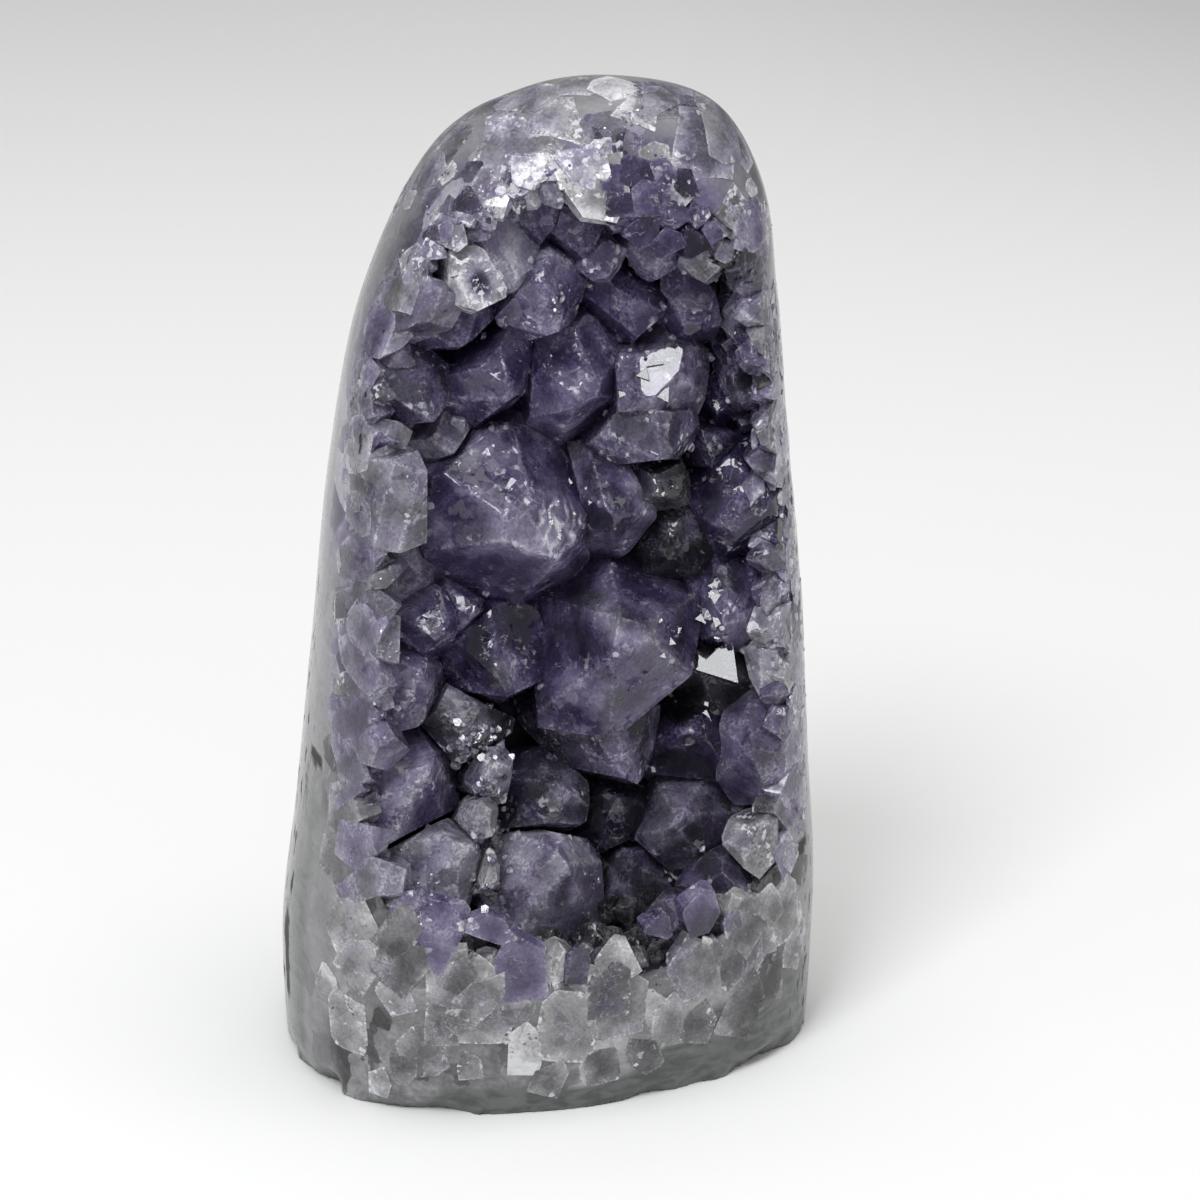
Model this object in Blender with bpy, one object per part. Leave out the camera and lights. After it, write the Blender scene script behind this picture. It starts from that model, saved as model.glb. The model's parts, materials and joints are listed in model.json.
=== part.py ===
"""Amethyst cluster: a free-standing geode piece with a flat sawn base.

A polished, rounded body of agate rind and quartz stands on its base. Its front is hollowed by a druse,
a bowl lined with amethyst crystals, and each freestanding crystal is its own object.
Metres, +Z up, -Y is the druse side. The origin is the middle of the base.
"""

import math
import random

import bmesh
import bpy
from mathutils import Matrix, Vector

MM = 0.001

# Driving dimensions of the polished body.
FRONT_DEPTH = 23.5 * MM
BACK_DEPTH = 20 * MM
BODY_HEART = Vector((1, 2.12, 32)) * MM
BODY_POWER = 2.15
BODY_TURN = 0.25  # the front is this share deeper at BODY_HALF_WIDTH to the left, and shallower to the right
BODY_HALF_WIDTH = 27 * MM
BODY_SEGMENTS = 60
BODY_RINGS = 26

# Polished outline, seen from the front: (x, z) in millimetres from the middle of the base. The stretch
# below the base only carries the curve on, and the saw takes it off.
BODY_OUTLINE = (
    (27.2, 13), (26.5, 30), (25.5, 48), (24.1, 63), (22.8, 78), (21.3, 89.5), (16.6, 97.6), (8, 100.2),
    (-1.5, 99.2), (-10.8, 93.5), (-17.9, 79), (-21.4, 62), (-23.4, 44), (-25.4, 26), (-27.2, 9),
    (-25, -12), (-15, -34), (0, -42), (15, -34), (25, -10),
)

# The druse bowl: its mouth is nearly a plane, turned a little to the right and up.
BOWL_HEART = Vector((3, -10.75, 53)) * MM
BOWL_FACING = Vector((0.21, -1, 0.09)).normalized()
BOWL_DEPTH = 15 * MM
BOWL_REACH = 45 * MM
BOWL_POWER = 2.5
BOWL_SEGMENTS = 34
BOWL_RINGS = 16

# Mouth of the bowl, (across, up) in millimetres from the bowl's heart, in the plane of the mouth.
BOWL_OUTLINE = (
    (22.3, -10), (21.6, 5), (20, 20), (17.5, 31), (11, 38), (2, 40.3), (-8, 38), (-15.5, 30),
    (-20, 17), (-20.8, -3), (-22.3, -20), (-19.5, -31), (-12, -36.5), (-1, -39), (10, -38),
    (18.5, -33), (22.3, -24),
)

# Quartz: the angle between the long axis and the normal of a tip face.
TIP_ANGLE = math.radians(51.8)
MINOR_TIP_STEP = 0.07
FACE_JITTER = 0.05
PRISM_LENGTH = 30 * MM
GROWTH = 1.5
HEART_DEPTH = 1.2
FOCUS = 58 * MM
LEAN_JITTER = math.radians(9)
AXIAL_SHARE = 0.3
SEAM = 0.0003

# Crystals: name; across and up, the place of the heart in the plane of the mouth; radius; how far the tip
# stands in front of that plane; kind of quartz. Millimetres from the bowl's heart.
CRYSTALS = (
    ("crystal_great_left", -5.4, 4.9, 8.4, 3.5, "mid"),
    ("crystal_great_right", 5.4, -8.5, 7.9, 3.5, "deep"),
    ("crystal_window", 9.5, 19, 4.9, 2.0, "mid"),
    ("crystal_below_window", 8.5, 14, 4.6, 1.5, "pale"),
    ("crystal_upper_left", -7, 32.5, 5.6, 1.0, "mid"),
    ("crystal_white_diamond", -9, 30.5, 3.1, 3.5, "clear"),
    ("crystal_milky", -1.5, 28, 4.3, 1.5, "pale"),
    ("crystal_top_grey", 3.5, 39, 3.4, 1.0, "clear"),
    ("crystal_top_dark", 11.5, 35, 3.8, -2.0, "deep"),
    ("crystal_striped", 14.5, 31, 3.2, 0.5, "mid"),
    ("crystal_top_inner_left", 1.5, 34, 3.2, -1.0, "deep"),
    ("crystal_top_inner_right", 6, 36, 2.9, -1.0, "deep"),
    ("crystal_light_edged", 3.5, 31, 2.6, 0.5, "mid"),
    ("crystal_upper_centre", 6.5, 26.5, 4.0, 0.0, "deep"),
    ("crystal_upper_grey", 9, 31.5, 3.2, -0.5, "mid"),
    ("crystal_top_left", -2.5, 36, 3.2, -1.0, "deep"),
    ("crystal_upper_right", 18, 30, 3.4, 0.5, "mid"),
    ("crystal_upper_mid_right", 12.5, 25.5, 3.4, -0.5, "mid"),
    ("crystal_right_shoulder", 19.5, 24.5, 4.0, 0.5, "mid"),
    ("crystal_right_upper_dark", 19, 18, 4.2, -1.5, "deep"),
    ("crystal_right_cavity", 16.5, 16, 4.2, -4.0, "deep"),
    ("crystal_left_shoulder", -15, 19, 4.2, 0.0, "mid"),
    ("crystal_left_cavity", -12, 14.5, 3.4, -3.0, "deep"),
    ("crystal_vivid", -6.5, 19.5, 5.2, 0.0, "deep"),
    ("crystal_upper_left_inner", -10.5, 25.5, 4.0, -1.0, "deep"),
    ("crystal_centre_upper", 1.5, 19, 5.4, 0.5, "mid"),
    ("crystal_centre", 4.5, 6, 4.6, 0.0, "mid"),
    ("crystal_dark_glint", 9, 8.5, 3.0, -1.0, "deep"),
    ("crystal_dark_centre", 11.5, 1.5, 4.6, -2.5, "deep"),
    ("crystal_right_large", 18.5, 5.5, 5.6, 1.0, "mid"),
    ("crystal_right_inner", 15, 11.5, 3.4, -3.0, "deep"),
    ("crystal_right_lower", 17, -5, 5.0, -0.5, "mid"),
    ("crystal_right_light", 21, -4, 2.6, 1.0, "pale"),
    ("crystal_right_clear", 21.5, -10.5, 3.9, 2.0, "clear"),
    ("crystal_left_grey", -14.5, -4, 4.0, 0.0, "mid"),
    ("crystal_left_pyramid", -6.5, -9, 5.4, 0.0, "deep"),
    ("crystal_left_purple", -17.5, -10, 4.8, 1.0, "mid"),
    ("crystal_left_dark", -16.5, 1, 4.0, -1.5, "deep"),
    ("crystal_left_smooth", -17.5, 7.5, 5.2, 1.0, "mid"),
    ("crystal_left_inner", -11, -3, 3.2, -1.5, "deep"),
    ("crystal_sparkle", -10, -15, 3.2, 1.5, "clear"),
    ("crystal_lobe_upper", -8.5, -19, 2.6, 2.5, "clear"),
    ("crystal_lobe_middle", -10, -24, 2.6, 2.5, "clear"),
    ("crystal_lobe_lower", -9.5, -28.5, 2.4, 2.5, "clear"),
    ("crystal_lower_left_large", -17, -21, 6.2, 1.5, "mid"),
    ("crystal_below_great_right", 4.5, -19, 5.0, -0.5, "mid"),
    ("crystal_mirror", 15, -12.5, 5.0, -2.5, "deep"),
    ("crystal_right_pink", 20, -20, 5.2, 2.0, "pale"),
    ("crystal_lower_lavender", -3, -32, 5.6, 3.0, "mid"),
    ("crystal_black", 7.5, -34.5, 5.2, -3.0, "deep"),
    ("crystal_lower_striped", 12, -28.5, 5.2, -1.5, "deep"),
    ("crystal_lower_right", 15.5, -34.5, 4.8, 2.0, "mid"),
    ("crystal_right_white", 18.5, -28.5, 3.0, 3.5, "clear"),
    ("crystal_lower_small", 10, -37, 3.6, 3.0, "mid"),
    ("crystal_lower_facet", -2.5, -24.5, 4.4, -0.5, "mid"),
    ("crystal_inner_black", 5, -27, 4.4, -3.5, "deep"),
    ("crystal_lower_left_grey", -13.5, -28.5, 4.4, 2.5, "pale"),
    ("crystal_inner_dark", 13, -19.5, 4.6, -2.5, "deep"),
    ("crystal_bottom_left", -16.5, -33.5, 3.8, 4.0, "mid"),
)

# Lean of the larger crystals, where it differs from the even spread: (right, up) in degrees, and the spin.
LEANS = {
    "crystal_great_left": (14, -4, 20),
    "crystal_great_right": (-4, 24, 30),
    "crystal_window": (6, 26, 30),
    "crystal_below_window": (4, -22, 0),
    "crystal_upper_left": (-10, -14, 10),
    "crystal_left_pyramid": (0, -18, 30),
    "crystal_below_great_right": (8, -26, 30),
    "crystal_right_large": (6, 4, 12),
    "crystal_centre_upper": (2, -6, 30),
}

# Colour, roughness and transmission of each kind of material.
LOOKS = {
    "deep": ((0.07, 0.04, 0.13), 0.12, 0.35),
    "mid": ((0.22, 0.17, 0.34), 0.14, 0.35),
    "pale": ((0.45, 0.40, 0.55), 0.18, 0.4),
    "clear": ((0.78, 0.77, 0.82), 0.15, 0.5),
}
ROCK_COLOUR = (0.33, 0.33, 0.34)
ROCK_ROUGHNESS = 0.16


def clear_scene():
    for thing in list(bpy.data.objects):
        bpy.data.objects.remove(thing, do_unlink=True)


def new_collection(name):
    made = bpy.data.collections.new(name)
    bpy.context.scene.collection.children.link(made)
    return made


def principled(name, colour, roughness, transmission=0.0):
    material = bpy.data.materials.new(name)
    material.use_nodes = True
    shader = material.node_tree.nodes["Principled BSDF"]
    shader.inputs["Base Color"].default_value = (*colour, 1)
    shader.inputs["Roughness"].default_value = roughness
    shader.inputs["Metallic"].default_value = 0.0
    shader.inputs["Transmission Weight"].default_value = transmission
    shader.inputs["IOR"].default_value = 1.54
    return material


def closed_curve(knots, share):
    """The point at this share, 0 to 1, of a smooth closed curve through the knots (Catmull-Rom)."""
    place = (share % 1.0) * len(knots)
    first = int(place)
    t = place - first
    before, start, end, after = (Vector(knots[(first + k) % len(knots)]) for k in (-1, 0, 1, 2))
    return 0.5 * (
        2 * start
        + (end - before) * t
        + (2 * before - 5 * start + 4 * end - after) * t**2
        + (3 * start - before - 3 * end + after) * t**3
    )


def frame_of(facing):
    """Across, up and out axes of a plane that faces this way."""
    out = facing.normalized()
    across = Vector((0, 0, 1)).cross(out).normalized()
    return across, out.cross(across), out


def egg(segments, rings, outline, heart, axes, reach, depth, power, turn=0.0):
    """A sphere whose equator is the outline, with one half-depth in front and another behind.

    The turn makes the front shallower for each metre across.
    """
    across, up, out = axes
    bm = bmesh.new()
    bmesh.ops.create_uvsphere(bm, u_segments=segments, v_segments=rings, radius=1)
    for vert in bm.verts:
        x, y, z = vert.co
        flat = closed_curve(outline, math.atan2(y, x) / math.tau)
        spread = min(1.0, math.hypot(x, y)) ** (2 / power)
        half = reach * (1 - turn * flat.x * spread) if z > 0 else depth
        rise = math.copysign(min(1.0, abs(z)) ** (2 / power) * half, z)
        vert.co = heart + across * flat.x * spread + up * flat.y * spread + out * rise
    return bm


def saw(bm, point, normal):
    """Cuts off what lies beyond the plane and closes the cut with one face."""
    parts = bm.verts[:] + bm.edges[:] + bm.faces[:]
    cut = bmesh.ops.bisect_plane(
        bm, geom=parts, dist=1e-7, plane_co=point, plane_no=normal, clear_outer=True
    )
    edges = [part for part in cut["geom_cut"] if isinstance(part, bmesh.types.BMEdge)]
    if edges:
        bmesh.ops.holes_fill(bm, edges=edges, sides=0)


def to_object(bm, name, collection, material=None):
    bmesh.ops.recalc_face_normals(bm, faces=bm.faces)
    mesh = bpy.data.meshes.new(name)
    bm.to_mesh(mesh)
    bm.free()
    made = bpy.data.objects.new(name, mesh)
    collection.objects.link(made)
    if material:
        mesh.materials.append(material)
    return made


def as_cutter(thing):
    thing.hide_render = True
    thing.display_type = "WIRE"
    return thing


def cut_with(thing, cutter, operation):
    boolean = thing.modifiers.new(cutter.name, "BOOLEAN")
    boolean.operation = operation
    boolean.object = cutter


def polished_body():
    """The whole polished outer form, sawn flat at the base."""
    heart = BODY_HEART
    outline = [Vector((x * MM - heart.x, z * MM - heart.z)) for x, z in BODY_OUTLINE]
    axes = frame_of(Vector((0, -1, 0)))
    turn = BODY_TURN / BODY_HALF_WIDTH
    bm = egg(BODY_SEGMENTS, BODY_RINGS, outline, heart, axes, FRONT_DEPTH, BACK_DEPTH, BODY_POWER, turn)
    saw(bm, Vector((0, 0, 0)), Vector((0, 0, -1)))
    return bm


def bowl(inset):
    """The space of the druse, shrunk all round by the inset."""
    outline = []
    for across, up in BOWL_OUTLINE:
        point = Vector((across, up)) * MM
        outline.append(point * (1 - inset / point.length))
    depth = BOWL_DEPTH - inset
    axes = frame_of(BOWL_FACING)
    return egg(BOWL_SEGMENTS, BOWL_RINGS, outline, BOWL_HEART, axes, BOWL_REACH, depth, BOWL_POWER)


class Growth:
    """One crystal's place: its tip, its long axis, its radius and its heart, a point inside it."""

    def __init__(self, name, across, up, radius, lift, kind):
        side, rise, out = frame_of(BOWL_FACING)
        chance = random.Random(name)
        self.name = name
        self.kind = kind
        self.radius = radius * MM
        outward = lift * MM - self.radius * HEART_DEPTH
        self.heart = BOWL_HEART + side * across * MM + rise * up * MM + out * outward
        if name in LEANS:
            right, raised, spin = (math.radians(angle) for angle in LEANS[name])
        else:
            right = chance.uniform(-LEAN_JITTER, LEAN_JITTER) - across * MM / FOCUS
            raised = chance.uniform(-LEAN_JITTER, LEAN_JITTER) - up * MM / FOCUS
            spin = chance.uniform(0, math.tau / 6)
        self.axis = (out + side * math.tan(right) + rise * math.tan(raised)).normalized()
        self.spin = spin
        self.tip = self.heart + self.axis * self.radius * HEART_DEPTH
        self.chance = chance


def seam_between(one, other):
    """A point and a normal of the plane where two crystals meet, as seen from the first."""
    axis = (one.axis + other.axis).normalized()
    apart = other.heart - one.heart
    along = axis * apart.dot(axis)
    normal = (apart - along) + along * AXIAL_SHARE
    share = 0.5 + (one.radius**2 - other.radius**2) / (2 * apart.length_squared)
    share = min(0.8, max(0.2, share))
    normal.normalize()
    return one.heart + apart * share - normal * SEAM / 2, normal


def crystal(growth, neighbours):
    """A six-sided quartz prism with its six tip faces, cut off where it meets its neighbours."""
    radius = growth.radius * GROWTH
    bm = bmesh.new()
    bmesh.ops.create_cone(
        bm, cap_ends=True, segments=6, radius1=radius, radius2=radius, depth=PRISM_LENGTH
    )
    bmesh.ops.translate(bm, verts=bm.verts, vec=(0, 0, -PRISM_LENGTH / 2))
    for side in range(6):
        angle = (side + 0.5) * math.tau / 6
        step = growth.chance.uniform(-FACE_JITTER, FACE_JITTER) + MINOR_TIP_STEP * (side % 2)
        normal = Vector(
            (
                math.sin(TIP_ANGLE) * math.cos(angle),
                math.sin(TIP_ANGLE) * math.sin(angle),
                math.cos(TIP_ANGLE),
            )
        )
        saw(bm, normal * growth.radius * step, normal)
    turn = growth.axis.to_track_quat("Z", "Y").to_matrix().to_4x4()
    spin = Matrix.Rotation(growth.spin, 4, "Z")
    bm.transform(Matrix.Translation(growth.tip) @ turn @ spin)
    for other in neighbours:
        saw(bm, *seam_between(growth, other))
    return bm


def build():
    clear_scene()
    parts = new_collection("amethyst_cluster")
    cutters = new_collection("cutters")
    rock = principled("geode_rock", ROCK_COLOUR, ROCK_ROUGHNESS)
    quartz = {kind: principled("amethyst_" + kind, *look) for kind, look in LOOKS.items()}

    form = as_cutter(to_object(polished_body(), "polished_form", cutters))
    druse_space = as_cutter(to_object(bowl(0), "druse_space", cutters))
    druse_seat = as_cutter(to_object(bowl(SEAM), "druse_seat", cutters))

    body = to_object(polished_body(), "geode_body", parts, rock)
    cut_with(body, druse_space, "DIFFERENCE")
    body.data.shade_smooth()
    body.data.set_sharp_from_angle(angle=math.radians(35))

    growths = [Growth(*row) for row in CRYSTALS]
    for growth in growths:
        others = [other for other in growths if other is not growth]
        made = to_object(crystal(growth, others), growth.name, parts, quartz[growth.kind])
        cut_with(made, druse_seat, "INTERSECT")
        cut_with(made, form, "INTERSECT")


build()
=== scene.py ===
"""Looks of the amethyst cluster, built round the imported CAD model.

Metres, +Z up; the druse faces -Y. Every crystal piece starts from its CAD solid. The polished body is
remeshed from its CAD solid and set back on the same smooth forms.
"""

import json
import math
import random
from itertools import product

import bmesh
import bpy
import numpy as np
from mathutils import Matrix, Vector, noise
from mathutils.bvhtree import BVHTree


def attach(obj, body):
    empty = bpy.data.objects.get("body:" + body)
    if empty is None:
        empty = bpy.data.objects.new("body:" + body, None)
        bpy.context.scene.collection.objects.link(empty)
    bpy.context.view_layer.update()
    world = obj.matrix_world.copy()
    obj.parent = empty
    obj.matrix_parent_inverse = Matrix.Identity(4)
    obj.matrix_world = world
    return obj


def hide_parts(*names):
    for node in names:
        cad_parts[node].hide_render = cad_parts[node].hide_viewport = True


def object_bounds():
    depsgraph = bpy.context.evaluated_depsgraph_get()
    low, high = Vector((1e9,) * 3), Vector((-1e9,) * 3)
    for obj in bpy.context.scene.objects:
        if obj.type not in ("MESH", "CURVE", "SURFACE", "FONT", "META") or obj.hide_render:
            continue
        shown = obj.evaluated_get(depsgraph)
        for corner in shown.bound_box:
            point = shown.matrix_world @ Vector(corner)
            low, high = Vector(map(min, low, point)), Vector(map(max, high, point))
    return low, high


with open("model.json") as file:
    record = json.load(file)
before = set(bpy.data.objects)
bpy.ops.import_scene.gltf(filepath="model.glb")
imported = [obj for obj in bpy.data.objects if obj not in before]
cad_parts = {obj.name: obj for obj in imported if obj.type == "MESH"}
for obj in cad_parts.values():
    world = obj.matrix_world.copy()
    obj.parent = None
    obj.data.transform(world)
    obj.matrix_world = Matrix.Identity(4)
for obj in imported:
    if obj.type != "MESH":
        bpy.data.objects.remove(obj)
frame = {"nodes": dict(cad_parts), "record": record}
CAD_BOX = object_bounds()
NODES = frame["nodes"]
SCENE = bpy.context.scene
MM = 0.001

# The polished body and the druse bowl: the same smooth forms as in the CAD, in millimetres.
BODY_HEART = (1, 2.12, 32)
BODY_FRONT, BODY_BACK, BODY_POWER = 23.5, 20, 2.15
BODY_TURN = 0.25 / 27  # the front is this share shallower for each millimetre to the right
BODY_OUTLINE = (
    (27.2, 13), (26.5, 30), (25.5, 48), (24.1, 63), (22.8, 78), (21.3, 89.5), (16.6, 97.6), (8, 100.2),
    (-1.5, 99.2), (-10.8, 93.5), (-17.9, 79), (-21.4, 62), (-23.4, 44), (-25.4, 26), (-27.2, 9),
    (-25, -12), (-15, -34), (0, -42), (15, -34), (25, -10),
)
BOWL_HEART = (3, -10.75, 53)
BOWL_FACING = (0.21, -1, 0.09)
BOWL_REACH, BOWL_DEPTH, BOWL_POWER = 45, 15, 2.5
BOWL_OUTLINE = (
    (22.3, -10), (21.6, 5), (20, 20), (17.5, 31), (11, 38), (2, 40.3), (-8, 38), (-15.5, 30),
    (-20, 17), (-20.8, -3), (-22.3, -20), (-19.5, -31), (-12, -36.5), (-1, -39), (10, -38),
    (18.5, -33), (22.3, -24),
)
SKIN = 0.9965  # the visual skin lies this share out from the heart, just inside the faceted CAD skin


def frame_of(facing):
    """Across, up and out axes of a plane that faces this way."""
    out = Vector(facing).normalized()
    across = Vector((0, 0, 1)).cross(out).normalized()
    return np.array([across, out.cross(across), out])


def closed_curve(knots, share):
    """The point at this share of a smooth closed curve through the knots."""
    place = (share % 1.0) * len(knots)
    first = int(place)
    t = place - first
    before, start, end, after = (np.array(knots[(first + k) % len(knots)]) for k in (-1, 0, 1, 2))
    return 0.5 * (
        2 * start
        + (end - before) * t
        + (2 * before - 5 * start + 4 * end - after) * t**2
        + (3 * start - before - 3 * end + after) * t**3
    )


class Egg:
    """A smooth closed form: an outline in a plane, bulging by one half-depth in front and another behind.

    The turn makes the front shallower to the right.
    """

    STEPS = 720

    def __init__(self, heart, facing, outline, reach, depth, power, turn=0.0):
        self.heart = np.array(heart) * MM
        self.axes = frame_of(facing)
        self.reach, self.depth, self.power, self.turn = reach * MM, depth * MM, power, turn / MM
        curve = np.array([closed_curve(outline, k / self.STEPS) for k in range(self.STEPS)]) * MM
        angles = np.arctan2(curve[:, 1], curve[:, 0])
        order = np.argsort(angles)
        self.angles, self.radii = angles[order], np.hypot(curve[:, 0], curve[:, 1])[order]

    def local(self, points):
        return (np.asarray(points) - self.heart) @ self.axes.T

    def radius(self, angle):
        return np.interp(angle, self.angles, self.radii, period=math.tau)

    def ratio(self, points):
        """Under 1 inside the form, over 1 outside."""
        across, up, out = self.local(points).T
        flat = np.hypot(across, up) / self.radius(np.arctan2(up, across))
        deep = np.abs(out) / np.where(out > 0, self.reach * (1 - self.turn * across), self.depth)
        return np.maximum((flat**self.power + deep**self.power) ** (1 / self.power), 1e-6)

    def gap(self, points):
        """How far a point is outside the form, along its ray from the heart."""
        return np.linalg.norm(points - self.heart, axis=1) * (1 - 1 / self.ratio(points))

    def snap(self, points, share=1.0):
        for _ in range(4):
            scale = share / self.ratio(points)
            points = self.heart + (points - self.heart) * scale[:, None]
        return points

    def point(self, angle, lift):
        """A surface point at this angle; lift -1 is the back pole, 0 the outline, 1 the front pole."""
        spread = max(0.0, 1 - abs(lift) ** self.power) ** (1 / self.power)
        flat = self.radius(angle) * spread
        across = math.cos(angle) * flat
        out = lift * (self.reach * (1 - self.turn * across) if lift > 0 else self.depth)
        return self.heart + np.array([across, math.sin(angle) * flat, out]) @ self.axes

    def normal(self, point):
        """The outward direction of the form's level at this point."""
        step = 0.05 * MM
        shifts = np.vstack([np.eye(3), -np.eye(3)]) * step + np.asarray(point)
        r = self.ratio(shifts)
        way = r[:3] - r[3:]
        return way / np.linalg.norm(way)


heart_x, _, heart_z = BODY_HEART
BODY = Egg(
    BODY_HEART, (0, -1, 0), [(x - heart_x, z - heart_z) for x, z in BODY_OUTLINE],
    BODY_FRONT, BODY_BACK, BODY_POWER, BODY_TURN,
)
BOWL = Egg(BOWL_HEART, BOWL_FACING, BOWL_OUTLINE, BOWL_REACH, BOWL_DEPTH, BOWL_POWER)


# Meshes -----------------------------------------------------------------------------------------------


def points_of(mesh):
    points = np.empty(len(mesh.vertices) * 3, np.float32)
    mesh.vertices.foreach_get("co", points)
    return points.reshape(-1, 3).astype(float)


def set_points(mesh, points):
    mesh.vertices.foreach_set("co", np.asarray(points, np.float32).ravel())
    mesh.update()


def normals_of(mesh):
    normals = np.empty(len(mesh.vertices) * 3, np.float32)
    mesh.vertices.foreach_get("normal", normals)
    return normals.reshape(-1, 3).astype(float)


def give(mesh, name, values):
    """Stores a number or a vector at each vertex, for the material."""
    values = np.asarray(values, np.float32)
    kind, field = ("FLOAT_VECTOR", "vector") if values.ndim == 2 else ("FLOAT", "value")
    layer = mesh.attributes.new(name, kind, "POINT")
    layer.data.foreach_set(field, values.ravel())


def noise_at(points, size, seed=0.0):
    """Smooth noise from about -1 to 1 at each point, with features of this size."""
    shift = Vector((seed * 17.3, seed * -9.1, seed * 5.7))
    return np.array([noise.noise(Vector(p) / size + shift) for p in points])


def smoothstep(low, high, values):
    t = np.clip((values - low) / (high - low), 0, 1)
    return t * t * (3 - 2 * t)


def scatter(chance, reach):
    """Three draws between minus and plus this reach."""
    return [chance.uniform(-reach, reach) for _ in range(3)]


def new_object(mesh, name, material):
    made = bpy.data.objects.new(name, mesh)
    SCENE.collection.objects.link(made)
    mesh.materials.append(material)
    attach(made, "root")
    return made


def saw(bm, point, normal):
    """Cuts off what lies beyond the plane and closes the cut with one face."""
    parts = bm.verts[:] + bm.edges[:] + bm.faces[:]
    cut = bmesh.ops.bisect_plane(
        bm, geom=parts, dist=1e-7, plane_co=point, plane_no=normal, clear_outer=True
    )
    edges = [part for part in cut["geom_cut"] if isinstance(part, bmesh.types.BMEdge)]
    if edges:
        bmesh.ops.holes_fill(bm, edges=edges, sides=0)


def refine(bm, longest):
    """Triangulates and splits edges until none is longer."""
    bmesh.ops.triangulate(bm, faces=bm.faces)
    for _ in range(6):
        long_edges = [edge for edge in bm.edges if edge.calc_length() > longest]
        if not long_edges:
            break
        bmesh.ops.subdivide_edges(bm, edges=long_edges, cuts=1)
        bmesh.ops.triangulate(bm, faces=[face for face in bm.faces if len(face.verts) > 3])


# Materials --------------------------------------------------------------------------------------------


class Nodes:
    """Short calls that add nodes to one material."""

    def __init__(self, name):
        self.material = bpy.data.materials.new(name)
        self.material.use_nodes = True
        self.tree = self.material.node_tree
        self.shader = self.tree.nodes["Principled BSDF"]
        self.coords = self.add("ShaderNodeTexCoord").outputs["Object"]

    def add(self, kind, **settings):
        node = self.tree.nodes.new(kind)
        for key, value in settings.items():
            setattr(node, key, value)
        return node

    def feed(self, socket, value):
        if isinstance(value, bpy.types.NodeSocket):
            self.tree.links.new(value, socket)
        elif isinstance(value, (tuple, list)) and len(socket.default_value) == 4 and len(value) == 3:
            socket.default_value = (*value, 1)
        else:
            socket.default_value = value

    def attribute(self, name, output="Fac"):
        return self.add("ShaderNodeAttribute", attribute_name=name).outputs[output]

    def noise(self, size, detail=3.0, vector=None, roughness=0.5, distortion=0.0, output="Fac"):
        node = self.add("ShaderNodeTexNoise")
        self.feed(node.inputs["Vector"], vector or self.coords)
        node.inputs["Scale"].default_value = 1 / size
        node.inputs["Detail"].default_value = detail
        node.inputs["Roughness"].default_value = roughness
        node.inputs["Distortion"].default_value = distortion
        return node.outputs[output]

    def cells(self, size, feature="F1", vector=None, output="Color"):
        node = self.add("ShaderNodeTexVoronoi", feature=feature)
        self.feed(node.inputs["Vector"], vector or self.coords)
        node.inputs["Scale"].default_value = 1 / size
        return node.outputs[output]

    def part(self, colour, index):
        node = self.add("ShaderNodeSeparateColor")
        self.feed(node.inputs[0], colour)
        return node.outputs[index]

    def span(self, value, low, high, to_low=0.0, to_high=1.0):
        """Remaps low..high smoothly onto to_low..to_high, clamped."""
        node = self.add("ShaderNodeMapRange", clamp=True, interpolation_type="SMOOTHSTEP")
        for socket, item in zip(node.inputs, (value, low, high, to_low, to_high)):
            self.feed(socket, item)
        return node.outputs["Result"]

    def maths(self, operation, *values):
        node = self.add("ShaderNodeMath", operation=operation)
        for socket, value in zip(node.inputs, values):
            self.feed(socket, value)
        return node.outputs[0]

    def plus(self, total, *values):
        for value in values:
            total = self.maths("ADD", total, value)
        return total

    def times(self, total, *values):
        for value in values:
            total = self.maths("MULTIPLY", total, value)
        return total

    def inverse(self, value):
        return self.maths("SUBTRACT", 1.0, value)

    def swing(self, value, amount, middle=0.5):
        """Goes up and down by this amount as the value goes from 0 to 1."""
        return self.times(self.maths("SUBTRACT", value, middle), amount)

    def vector_maths(self, operation, *values):
        node = self.add("ShaderNodeVectorMath", operation=operation)
        for socket, value in zip(node.inputs, values):
            self.feed(socket, value)
        return node.outputs[0]

    def scaled(self, vector, factor):
        return self.vector_maths("MULTIPLY", vector, (factor, factor, factor))

    def mix(self, share, first, second):
        node = self.add("ShaderNodeMix", data_type="RGBA")
        self.feed(node.inputs["Factor"], share)
        self.feed(node.inputs[6], first)
        self.feed(node.inputs[7], second)
        return node.outputs[2]

    def ramp(self, value, stops):
        node = self.add("ShaderNodeValToRGB")
        self.feed(node.inputs[0], value)
        band = node.color_ramp
        while len(band.elements) < len(stops):
            band.elements.new(0.5)
        for element, (place, colour) in zip(band.elements, stops):
            element.position = place
            element.color = (*colour, 1)
        return node.outputs["Color"]

    def bump(self, height):
        """A normal from a height in metres."""
        node = self.add("ShaderNodeBump")
        node.inputs["Strength"].default_value = 1
        node.inputs["Distance"].default_value = 1
        self.feed(node.inputs["Height"], height)
        return node.outputs["Normal"]

    def set(self, **inputs):
        for key, value in inputs.items():
            self.feed(self.shader.inputs[key.replace("_", " ")], value)


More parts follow.
